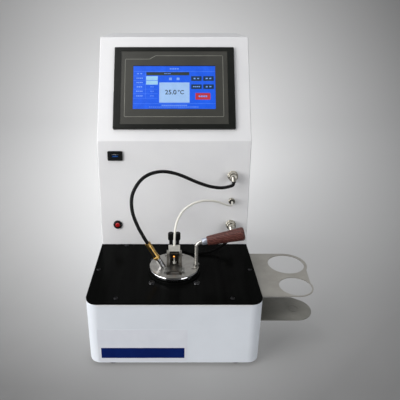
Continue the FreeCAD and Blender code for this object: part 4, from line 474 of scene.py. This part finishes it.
FINISHES = {
    "base_shell": BASE_WHITE, "bottom_plate": BASE_WHITE, "feet": RUBBER, "top_plate": DECK_PAINTED_STREAKS,
    "plate_screws": SCREW, "seat_ring": DECK_PAINTED_STREAKS, "bath_block": ALUMINIUM, "band_heater": GREY_STEEL,
    "bath_insulation": FELT, "test_cup": BRASS, "lid_plate": LID_STEEL, "lid_rim": CHROME,
    "shutter_slide": STEEL, "shutter_rails": GREY_STEEL, "lid_fasteners": GREY_STEEL,
    "igniter_frame": CHEEK_PAINTED_SHADE, "igniter_arm": DARK_STEEL, "igniter_pin": GREY_STEEL,
    "igniter_coil": GLOW, "gas_nozzle": NOZZLE, "lead_gland": BLACK, "terminal_block": BLACK,
    "terminal_studs": BRASS, "terminal_knob_left": KNOB, "terminal_knob_right": KNOB,
    "probe_socket": CHROME, "probe_sleeve": BRASS, "probe_stem": CHROME, "handle_rod": SATIN,
    "handle_grip": WOOD, "tower_cover": WHITE, "tower_side_panels": WHITE, "rear_panel": WHITE,
    "case_screws": SCREW, "panel_bezel": BEZEL, "panel_overlay": OVERLAY, "touch_screen": SCREEN,
    "panel_housing": BLACK, "data_port": BLACK, "lamp_bezel": BLACK, "lamp_lens": LENS,
    "sensor_socket": NICKEL, "sensor_coupling_nut": NICKEL, "sensor_plug": SENSOR_SHELL,
    "igniter_socket": NICKEL, "igniter_coupling_nut": NICKEL, "igniter_plug": IGNITER_SHELL,
    "gas_fitting": NICKEL, "gas_collet": BLACK, "side_shelf": SHELF_PAINTED_SHADE, "power_inlet": BLACK,
    "switch_frame": BLACK, "power_rocker": RUBBER, "fan_frame": BLACK, "fan_rotor": BLACK,
    "power_supply": GREY_STEEL, "control_board": GREEN, "probe_cable": RUBBER,
    "gas_tube": TUBE, "igniter_lead": LEAD,
}
for node, finish in FINISHES.items():
    slots = NODES[node].data.materials
    slots.clear()
    slots.append(finish)


# Cords
def line_of(points):
    """Points along the smooth line that a cord's own control points give."""
    curve = bpy.data.curves.new("route", "CURVE")
    curve.dimensions = "3D"
    curve.resolution_u = 16
    spline = curve.splines.new("NURBS")
    spline.points.add(len(points) - 1)
    for point, place in zip(spline.points, points):
        point.co = (*at(*place), 1.0)
    spline.order_u = 3
    spline.use_endpoint_u = True
    holder = bpy.data.objects.new("route", curve)
    mesh = bpy.data.meshes.new_from_object(holder)
    line = [vertex.co.copy() for vertex in mesh.vertices]
    bpy.data.meshes.remove(mesh)
    bpy.data.objects.remove(holder)
    bpy.data.curves.remove(curve)
    return line


def tube_mesh(name, line, radius, sides=24):
    """A round tube along a line, closed at both ends."""
    def build(bm):
        way = (line[1] - line[0]).normalized()
        side = way.orthogonal().normalized()
        rings = []
        for k, place in enumerate(line):
            ahead = (line[min(k + 1, len(line) - 1)] - line[max(k - 1, 0)]).normalized()
            side = (way.rotation_difference(ahead) @ side).normalized()
            way = ahead
            other = way.cross(side)
            ring = []
            for n in range(sides):
                angle = 2 * math.pi * n / sides
                spoke = math.cos(angle) * side + math.sin(angle) * other
                ring.append(bm.verts.new(place + radius * spoke))
            rings.append(ring)
        for low, high in zip(rings, rings[1:]):
            bridge(bm, low, high)
        bm.faces.new(rings[0])
        bm.faces.new(rings[-1])
    return smooth(mesh_of(name, build), 50.0)


# Each cord's radius in millimetres, length in metres, finish, colour slot and control points
CORDS = {
    "probe_cable": (3.0, 0.322, RUBBER, "rubber", [
        (-43.5, 92.0, 179.8), (-52.6, 92.0, 196.2), (-63.4, 95.5, 217.0), (-72.4, 102.0, 242.0),
        (-71.6, 112.0, 270.0), (-49.5, 126.0, 297.5), (-8.0, 143.0, 299.0), (51.4, 161.0, 264.3),
        (83.0, 171.5, 254.0), (101.0, 178.5, 254.6), (109.8, 183.7, 256.1), (109.8, 189.1, 263.3),
    ]),
    "gas_tube": (2.0, 0.212, TUBE, "tube_white", [
        (0.0, 101.9, 166.0), (0.0, 101.9, 194.0), (4.5, 112.0, 219.5), (19.5, 127.0, 236.0),
        (45.0, 142.0, 242.3), (74.0, 156.0, 236.3), (95.5, 167.5, 223.0), (106.0, 175.0, 218.0),
        (109.8, 187.0, 217.6), (109.8, 202.2, 216.35),
    ]),
    "igniter_lead": (2.5, 0.157, LEAD, "rubber", [
        (0.0, 116.0, 155.0), (0.0, 129.0, 155.0), (5.0, 137.5, 149.0), (14.0, 146.0, 138.5),
        (31.0, 151.5, 129.6), (52.0, 153.5, 129.3), (71.0, 157.0, 131.5), (87.0, 161.5, 138.5),
        (99.0, 166.5, 146.0), (109.8, 172.3, 153.95), (109.8, 178.3, 161.96),
    ]),
}
# The gas tube stays put in its collet and between the binding posts when the lid moves
for node, (radius, length, finish, slot, route) in CORDS.items():
    line = line_of(route)
    piece = add(node + "_line", tube_mesh(node, line, radius * MM), finish)
    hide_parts(node)
    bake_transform(piece)


# The tower's painted skin
def rounded(before, here, after, radius, steps=6):
    """Points that round the corner of an outline."""
    first, second = (before - here).normalized(), (after - here).normalized()
    half = first.angle(second) / 2
    centre = here + (first + second).normalized() * radius / math.sin(half)
    start = here + first * radius / math.tan(half) - centre
    sweep = math.pi - 2 * half
    return [centre + Matrix.Rotation(-sweep * k / steps, 2) @ start for k in range(steps + 1)]


def tower_skin(edge=2.2, knee_bend=6.0, brow_bend=4.0, sheet=1.2):
    """The tower's cover and sides as one painted skin, its upright edges and bends rounded."""
    foot, knee, brow = Vector(TOWER_FOOT), Vector(TOWER_KNEE), Vector(TOWER_BROW)
    lower = Vector((knee.y - foot.y, foot.x - knee.x)).normalized()
    upper = Vector((brow.y - knee.y, knee.x - brow.x)).normalized()
    top = Vector((0, -1))

    def drawn_in(corner, first, second, inset):
        return corner + (first + second) * (inset / (1 + first.dot(second)))

    def outline(inset):
        start = foot + Vector((inset / lower.x, 0))
        middle = drawn_in(knee, lower, upper, inset)
        crest = drawn_in(brow, upper, top, inset)
        end = Vector((TOWER_REAR, brow.y - inset))
        return [start, *rounded(start, middle, crest, knee_bend - inset),
                *rounded(middle, crest, end, brow_bend - inset), end]

    def build(bm):
        turns = [math.radians(15 * k) for k in range(7)]
        rows = []
        for side in (-1, 1):
            for turn in (reversed(turns) if side < 0 else turns):
                across = side * (TOWER_REACH - edge + edge * math.sin(turn))
                spots = outline(edge * (1 - math.cos(turn)))
                rows.append([bm.verts.new(at(across, *spot)) for spot in spots])
        for low, high in zip(rows, rows[1:]):
            for n in range(len(low) - 1):
                bm.faces.new((low[n], low[n + 1], high[n + 1], high[n]))
        for row, side in ((rows[0], -1), (rows[-1], 1)):
            bm.faces.new([*row, bm.verts.new(at(side * TOWER_REACH, TOWER_REAR, BASE_TOP))])

    piece = add("tower_skin", mesh_of("tower_skin", build), WHITE)
    shell = piece.modifiers.new("thickness", "SOLIDIFY")
    shell.thickness = sheet * MM
    shell.offset = -1.0
    thick = bpy.data.meshes.new_from_object(piece.evaluated_get(bpy.context.evaluated_depsgraph_get()))
    piece.modifiers.clear()
    piece.data = smooth(thick, 25.0)
    return piece


skin = tower_skin()
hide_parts("tower_cover", "tower_side_panels")
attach(skin, "housing")


# Round pieces
def turned(name, profile, centre, axis=UP, sides=72, flutes=0, cut=0.0, fluted=()):
    """A closed revolved form from (radius, height) pairs in millimetres; the numbered rings are fluted."""
    turn = UP.rotation_difference(axis)

    def ring_of(bm, k, radius, height):
        if radius == 0:
            return [bm.verts.new(centre + turn @ Vector((0, 0, height * MM)))]
        ring = []
        for n in range(sides):
            angle = 2 * math.pi * n / sides
            reach = radius
            if k in fluted:
                reach -= cut * (0.5 + 0.5 * math.cos(flutes * angle)) ** 2
            spot = Vector((reach * math.cos(angle), reach * math.sin(angle), height)) * MM
            ring.append(bm.verts.new(centre + turn @ spot))
        return ring

    def build(bm):
        rings = [ring_of(bm, k, *pair) for k, pair in enumerate(profile)]
        for low, high in zip(rings, rings[1:]):
            if len(low) == len(high) == 1:
                continue
            if len(low) > 1 and len(high) > 1:
                bridge(bm, low, high)
                continue
            for n in range(sides):
                m = (n + 1) % sides
                bm.faces.new((low[0], high[n], high[m]) if len(low) == 1 else (low[n], high[0], low[m]))
        if len(rings[0]) > 1 and len(rings[-1]) > 1:
            bridge(bm, rings[-1], rings[0])
    return smooth(mesh_of(name, build), 40.0)


# The lid's polished rim, its upper edge rolled over
dress("lid_rim_rolled", turned("lid_rim_rolled", [
    (41.15, 131.6), (43.2, 131.6), (43.65, 132.0), (43.65, 134.9), (43.55, 135.8), (43.25, 136.7),
    (42.8, 137.4), (42.2, 137.9), (41.6, 138.15), (41.2, 138.2), (41.15, 138.1), (41.15, 136.0),
], at(0, LID_MIDDLE, 0), sides=160), CHROME, "lid", ["lid_rim"])

# Binding posts: black caps with ribbed heads over a smooth neck
POST_ACROSS, POST_BACK, POST_FOOT = 5.7, 109.2, 171.5
for side, node, body in ((-1, "terminal_knob_left", "left_knob"), (1, "terminal_knob_right", "right_knob")):
    dress(node + "_cap", turned(node, [
        (1.65, 0.0), (3.1, 0.0), (3.1, 8.6), (3.6, 9.6), (4.9, 11.0), (5.2, 12.2), (5.2, 13.0),
        (5.2, 21.6), (5.2, 22.6), (4.8, 23.6), (3.9, 24.2), (2.4, 24.2), (2.1, 23.9), (0, 23.9),
        (0, 14.3), (1.65, 14.3),
    ], at(side * POST_ACROSS, POST_BACK, POST_FOOT), sides=120, flutes=15, cut=0.55,
        fluted=(5, 6, 7, 8, 9)), KNOB, body, [node])

# The ferrule between the lifting rod and its grip, seated a little way along the rising rod
ROD_END, ROD_RISE, FERRULE_OUT = at(38.5, 97.5, 181.8), math.radians(12.7), 10.0
rod_way = Vector((math.cos(ROD_RISE), 0, math.sin(ROD_RISE)))
dress("handle_ferrule", turned("handle_ferrule", [
    (3.3, -0.1), (4.9, -0.1), (5.6, 0.3), (5.9, 0.9), (5.9, 8.45), (3.3, 8.45),
], ROD_END + rod_way * FERRULE_OUT * MM, rod_way), FERRULE, "lid")

# Coupling nuts with a knurled grip
PLUG_ACROSS = 109.8
for prefix, up in (("sensor", 139.6), ("igniter", 41.5)):
    dress(prefix + "_nut_knurled", turned(prefix + "_nut", [
        (6.4, 3.6), (7.8, 3.6), (8.6, 4.4), (8.6, 5.0), (8.55, 5.4), (8.55, 10.1), (8.6, 10.5),
        (8.6, 11.2), (7.8, 12.1), (6.4, 12.1),
    ], LOWER.at(PLUG_ACROSS, up), LOWER.out, 160, 40, 0.35, (4, 5)),
        NICKEL, prefix + "_nut", [prefix + "_coupling_nut"])

# Bath screws' bright rims, on a square about the lid
BATH_SCREW_REACH = 38.0
for k, (side, way) in enumerate(((-1, -1), (1, -1), (-1, 1), (1, 1))):
    dress("bath_screw_rim_%d" % k, turned("bath_screw_rim_%d" % k, [
        (5.05, 126.45), (5.6, 126.45), (5.55, 126.75), (5.3, 127.0), (5.05, 126.8),
    ], at(side * BATH_SCREW_REACH, LID_MIDDLE + way * BATH_SCREW_REACH, 0), sides=48),
        RING, "housing")


# Flat prints and sheets on a face
def slabs(name, face, boxes, low, high, finish, body="housing", round_by=0.0):
    """Thin plates on a face, each (left, bottom, right, top), between two heights out of it."""
    def corners(left, bottom, right, top):
        if round_by == 0:
            return [(left, bottom), (right, bottom), (right, top), (left, top)]
        points = []
        for across, up, start in (
            (right - round_by, bottom + round_by, 270), (right - round_by, top - round_by, 0),
            (left + round_by, top - round_by, 90), (left + round_by, bottom + round_by, 180),
        ):
            for turn in (0, 22.5, 45, 67.5, 90):
                angle = math.radians(start + turn)
                points.append((across + round_by * math.cos(angle), up + round_by * math.sin(angle)))
        return points

    def build(bm):
        for box in boxes:
            loop = corners(*box)
            under = [bm.verts.new(face.at(across, up, low)) for across, up in loop]
            over = [bm.verts.new(face.at(across, up, high)) for across, up in loop]
            bm.faces.new(over)
            bm.faces.new(under[::-1])
            bridge(bm, under, over)
    dress(name, mesh_of(name, build), finish, body)


def strip(name, face, line, width, low, high, finish):
    """A thin raised line of one width along points on a face, closed into a loop."""
    def build(bm):
        count = len(line)
        rows = []
        for k in range(count):
            before, here, after = (Vector(line[(k + n) % count]) for n in (-1, 0, 1))
            first, second = (here - before).normalized(), (after - here).normalized()
            normal = Vector((-first.y - second.y, first.x + second.x)).normalized()
            normal *= (width / 2) / max(0.4, math.cos(first.angle(second) / 2))
            rows.append([
                bm.verts.new(face.at(spot.x, spot.y, out))
                for spot, out in ((here + normal, low), (here + normal, high), (here - normal, high),
                                  (here - normal, low))
            ])
        for k in range(count):
            bridge(bm, rows[k], rows[(k + 1) % count])
    dress(name, mesh_of(name, build), finish, "housing")


def digits(name, text, size, across, up, thick=0.02, bold=0.16, above=0.1):
    """Plain numerals laid on the screen as thin raised shapes."""
    curve = bpy.data.curves.new(name, "FONT")
    curve.body = text
    curve.size = size * MM
    curve.extrude = thick * MM
    curve.offset = bold * MM
    curve.align_x = "CENTER"
    curve.align_y = "CENTER"
    holder = bpy.data.objects.new(name, curve)
    mesh = bpy.data.meshes.new_from_object(holder)
    bpy.data.objects.remove(holder)
    bpy.data.curves.remove(curve)
    turn = Matrix((PANEL.across, PANEL.up, PANEL.out)).transposed().to_4x4()
    mesh.transform(Matrix.Translation(PANEL.at(across, up, SCREEN_TOP + above)) @ turn)
    mesh.name = name
    dress(name, mesh, DIGITS, "housing")


def page_slabs(name, boxes, height, finish, round_by=0.0):
    """Plates on the screen, measured from the panel's middle."""
    slabs(name, PANEL, boxes, SCREEN_TOP, SCREEN_TOP + height, finish, round_by=round_by)


# The screen's edges, the half width of its rules, and how far each kind of print stands out of it
LEFT, RIGHT, TOP, HALF_RULE = -76.5, 76.5, 42.5, 0.25
RULE_OUT, FIELD_OUT, BUTTON_OUT, DASH_OUT = 0.04, 0.06, 0.1, 0.14
rules = [(LEFT, 31.3, RIGHT, 31.9), (LEFT, -32.8, RIGHT, -32.2)]
rules += [(LEFT, up - HALF_RULE, -31.0, up + HALF_RULE) for up in (22.5, 13.2, 4.6, -3.9, -12.9, -22.1)]
rules.append((-53.9, -22.1, -53.4, 31.3))
page_slabs("screen_rules", rules, RULE_OUT, LINES)
page_slabs("screen_bar", [(-52.6, 23.8, 28.2, 30.2)], FIELD_OUT, OLIVE)
page_slabs("screen_fields", [(-52.6, 14.0, -30.8, 21.9), (-52.6, 5.2, -30.8, 13.0)], FIELD_OUT, PALE)
page_slabs("screen_readout", [(-28.0, -30.6, 28.4, 9.4)], FIELD_OUT, READOUT)
page_slabs("screen_buttons", [
    (31.6, 12.6, 51.2, 22.0), (54.2, 12.6, 74.0, 22.0), (31.6, -3.6, 51.2, 5.6), (54.2, -3.6, 74.0, 5.6),
], BUTTON_OUT, BUTTON, 0.6)
page_slabs("screen_stop", [(39.4, -24.8, 67.2, -11.6)], BUTTON_OUT, STOP, 0.8)

# Short dashes stand where the page has its captions: each row's middle, height, count and dash size.
# They step by a share of their length, wider in a pair.
ROW_STEP, PAIR_STEP = 1.32, 1.9
dashes = []
for middle, up, count, size, tall in (
    (0.0, 36.8, 4, 3.4, 2.4), (-65.0, 27.0, 2, 3.2, 2.2), (-65.0, 18.0, 4, 2.4, 2.2),
    (-65.0, 9.2, 4, 2.4, 2.2), (-65.0, 0.6, 3, 2.8, 2.2), (-65.0, -8.2, 4, 2.4, 2.2),
    (-65.0, -17.4, 4, 2.4, 2.2), (-7.2, 16.6, 1, 5.4, 5.0), (7.2, 16.6, 1, 5.4, 5.0),
    (-12.8, 27.0, 4, 2.4, 1.4), (-41.5, 0.6, 2, 2.0, 1.8),
    (-41.5, -8.2, 2, 2.0, 1.8), (-41.5, -17.4, 2, 2.0, 1.8),
    (41.4, 17.3, 2, 3.6, 2.6), (64.1, 17.3, 2, 3.6, 2.6), (41.4, 1.0, 4, 2.6, 2.4),
    (64.1, 1.0, 2, 3.6, 2.6), (53.3, -18.2, 4, 3.2, 3.2), (0.0, -35.9, 13, 2.8, 2.0),
    (-1.0, -39.2, 26, 2.7, 1.1),
):
    step = size * (ROW_STEP if count > 2 else PAIR_STEP)
    for k in range(count):
        across = middle + (k - (count - 1) / 2) * step
        dashes.append((across - size / 2, up - tall / 2, across + size / 2, up + tall / 2))
page_slabs("screen_dashes", dashes, DASH_OUT, MARKS, 0.4)
digits("screen_number", "25.0", 12.6, -6.6, -10.4)
digits("screen_unit", "°C", 11.0, 12.2, -10.4)
slabs("screen_edge", PANEL, [(LEFT - 0.6, TOP - 0.1, RIGHT + 0.6, TOP + 1.1)], SCREEN_TOP,
      OVERLAY_TOP + 0.04, BLACK)

# The data port's blue tongue and bright contact over its throat, a dark sheet painted as the shade inside
# the port
slabs("port_throat_painted_shade", LOWER, [(-116.3, 173.0, -103.3, 179.0)], 0.02, 0.3, KNOB)
slabs("port_tongue", LOWER, [(-115.3, 176.15, -104.3, 178.05)], 0.25, 2.2, TONGUE)
slabs("port_contact", LOWER, [(-115.6, 173.6, -103.6, 174.3)], 0.25, 0.9, NICKEL)

# The printed frame line round the screen, with its step at the top left
strip("overlay_line", PANEL, [
    (-92.4, -56.6), (-90.9, -58.1), (90.0, -58.1), (91.5, -56.6), (91.5, 62.0), (90.0, 63.5),
    (-35.2, 63.5), (-46.6, 56.5), (-90.9, 56.5), (-92.4, 55.0),
], 0.9, OVERLAY_TOP - 0.02, OVERLAY_TOP + 0.06, PRINT)

# The label sheet on the base's front with a bare navy band
slabs("front_label", FRONT, [(-125.4, 10.8, 21.5, 75.5)], -0.02, 0.14, LABEL,
      round_by=1.0)
slabs("front_band", FRONT, [(-120.8, 17.6, 16.9, 38.5)], 0.12, 0.2, NAVY, round_by=0.8)

# Painted shade: dark sheets in the lid's window and in the slot along the probe's brass sleeve, standing in
# for their dark depths
slabs("lid_window_shade", LID_FACE, [
    (-13.2, 65.0, -7.9, 68.8), (-8.5, 65.4, 8.5, 68.4), (7.9, 65.0, 13.2, 68.8),
], -0.05, 0.04, SLOT_PAINTED_SHADE, body="lid", round_by=1.2)
slabs("probe_sleeve_shade", PROBE_SIDE, [(-1.3, 24.6, 1.3, 43.6)], 3.2, 4.45, SLOT_PAINTED_SHADE, body="lid",
      round_by=0.6)

# The base's rolled top edge, a light line under the deck
slabs("base_edge", FRONT, [(-124.0, 121.4, 124.0, 123.4)], -0.1, 0.9, WHITE,
      round_by=0.4)

# The backdrop's painted pool of light, in pixels of the picture: its middle, the tone there, the tone lost
# with each pixel, and the least tone. The fit says how strongly the lamps light the backdrop over the
# picture.
# The pool is painted: the lit share of the tone comes from the lamps on a paint set against them, and the
# rest is the backdrop's own glow.
PICTURE = 400
POOL_MIDDLE, POOL_TONE, POOL_LOSS, POOL_LEAST = (157.9, 156.9), 267.4, 0.4865, 116.0
LAMP_FIT = (0.718, 0.352, 0.024, -0.135, -0.145, 0.051)
LIT_SHARE = 0.6
OUT_OF_VIEW = (0.3, 1.0)


def pool_at(place):
    """The backdrop's tone at a place, in linear light, and how strongly the lamps light it there."""
    way = place - EYE
    depth = way.y * math.cos(PITCH) - way.z * math.sin(PITCH)
    if depth < lens.clip_start:
        return OUT_OF_VIEW
    focal = PICTURE * FOCAL / SENSOR
    across = PICTURE * (0.5 - SHIFT) + focal * way.x / depth
    down = PICTURE / 2 - focal * (way.y * math.sin(PITCH) + way.z * math.cos(PITCH)) / depth
    away = math.hypot(across - POOL_MIDDLE[0], down - POOL_MIDDLE[1])
    tone = max(POOL_LEAST, POOL_TONE - POOL_LOSS * away) / 255
    a, b = (max(-1.0, min(1.0, 2 * pixel / PICTURE - 1)) for pixel in (across, down))
    light = sum(weight * term for weight, term in zip(LAMP_FIT, (1, b, b * b, a, a * b, a * a)))
    return linear(tone), light


def backdrop(near=-4.0, bend_start=1.6, bend_radius=1.2, side=5.0, step=0.1, wall_rows=11):
    """A floor that curves up into a wall, in metres, with its paint and its own glow at each point, which
    together paint a pool of light on it.
    """
    profile = [(near + step * k, 0.0) for k in range(round((bend_start - near) / step))]
    profile += [
        (bend_start + bend_radius * math.sin(math.radians(angle)),
         bend_radius * (1 - math.cos(math.radians(angle))))
        for angle in range(0, 91, 2)
    ]
    profile += [(bend_start + bend_radius, bend_radius + 2 * step * k) for k in range(1, wall_rows + 1)]
    columns = [step * k - side for k in range(round(2 * side / step) + 1)]

    def build(bm):
        grid = [[bm.verts.new((x, y, z)) for x in columns] for y, z in profile]
        for low, high in zip(grid, grid[1:]):
            for n in range(len(columns) - 1):
                bm.faces.new((low[n], low[n + 1], high[n + 1], high[n]))
    mesh = mesh_of("backdrop", build)
    mesh.shade_smooth()
    paint = mesh.attributes.new("paint", "FLOAT", "POINT")
    glow = mesh.attributes.new("glow", "FLOAT", "POINT")
    for vertex in mesh.vertices:
        level, light = pool_at(vertex.co)
        shade = min(LIT_SHARE, LIT_SHARE * level / light)
        paint.data[vertex.index].value = shade
        glow.data[vertex.index].value = max(0.0, level - shade * light)
    return mesh


def floor_finish():
    """Matt grey paint that takes the object's shadow, with a glow that can be seen but lights nothing;
    paint and glow follow the painted pool of light.
    """
    finish, tree, shader, _ = new_finish("backdrop_grey")
    paint = tree.nodes.new("ShaderNodeAttribute")
    paint.attribute_name = "paint"
    tree.links.new(paint.outputs["Color"], shader.inputs["Base Color"])
    glow = tree.nodes.new("ShaderNodeAttribute")
    glow.attribute_name = "glow"
    rays = tree.nodes.new("ShaderNodeLightPath")
    seen = rays.outputs["Is Camera Ray"]
    for name in ("Is Glossy Ray", "Is Transmission Ray"):
        seen = joined(tree, "MAXIMUM", seen, rays.outputs[name])
    shader.inputs["Emission Color"].default_value = (1.0, 1.0, 1.0, 1.0)
    tree.links.new(joined(tree, "MULTIPLY", glow.outputs["Fac"], seen), shader.inputs["Emission Strength"])
    shader.inputs["Roughness"].default_value = 0.9
    shader.inputs["Specular IOR Level"].default_value = 0.0
    return finish


add("backdrop", backdrop(), floor_finish())

# Lamps: each one's place, aim, side in metres, watts and tone
WARM, COOL, PLAIN = (1.0, 0.99, 0.98), (0.98, 0.99, 1.0), (1.0, 1.0, 1.0)
for name, place, aim, side, watts, tone in (
    ("key", (-1.43, -1.13, 0.7), (-0.05, -0.05, 0.3), 1.0, 22.0, WARM),
    ("high", (-0.85, -0.8, 1.75), (-0.05, -0.05, 0.4), 0.7, 6.0, WARM),
    ("fill", (1.0, -1.3, 0.45), (-0.05, -0.1, 0.25), 0.7, 7.0, COOL),
    ("side", (-1.75, -0.45, 0.35), (-0.2, -0.2, 0.15), 0.7, 4.0, PLAIN),
):
    lamp = bpy.data.lights.new(name, "AREA")
    lamp.shape = "RECTANGLE"
    lamp.size = lamp.size_y = side
    lamp.energy = watts
    lamp.color = tone
    holder = bpy.data.objects.new(name, lamp)
    bpy.context.scene.collection.objects.link(holder)
    holder.location = place
    holder.visible_camera = False
    holder.rotation_euler = (Vector(aim) - Vector(place)).to_track_quat("-Z", "Y").to_euler()


def room_light():
    """A studio's glow: bright walls on the left, dimmer on the right, a soft ceiling, dark ahead."""
    world = bpy.data.worlds.new("room")
    bpy.context.scene.world = world
    world.use_nodes = True
    tree = world.node_tree
    room = tree.nodes["Background"]
    room.inputs["Color"].default_value = (0.97, 0.98, 1.0, 1.0)
    way = tree.nodes.new("ShaderNodeTexCoord")
    parts = tree.nodes.new("ShaderNodeSeparateXYZ")
    tree.links.new(way.outputs["Generated"], parts.inputs["Vector"])
    left, right, above, ahead = (
        ranged(tree, parts.outputs[axis], low, high, start, end, "SMOOTHSTEP")
        for axis, low, high, start, end in (
            ("X", -0.25, -0.9, 0.1, 1.3), ("X", 0.3, 0.95, 0.0, 0.2),
            ("Z", 0.4, 1.0, 0.0, 1.0), ("Y", -0.1, -0.6, 1.0, 0.1),
        )
    )
    total = joined(tree, "ADD", joined(tree, "ADD", left, right), above)
    tree.links.new(joined(tree, "MULTIPLY", total, ahead), room.inputs["Strength"])


room_light()

bpy.context.scene.view_settings.view_transform = "Standard"
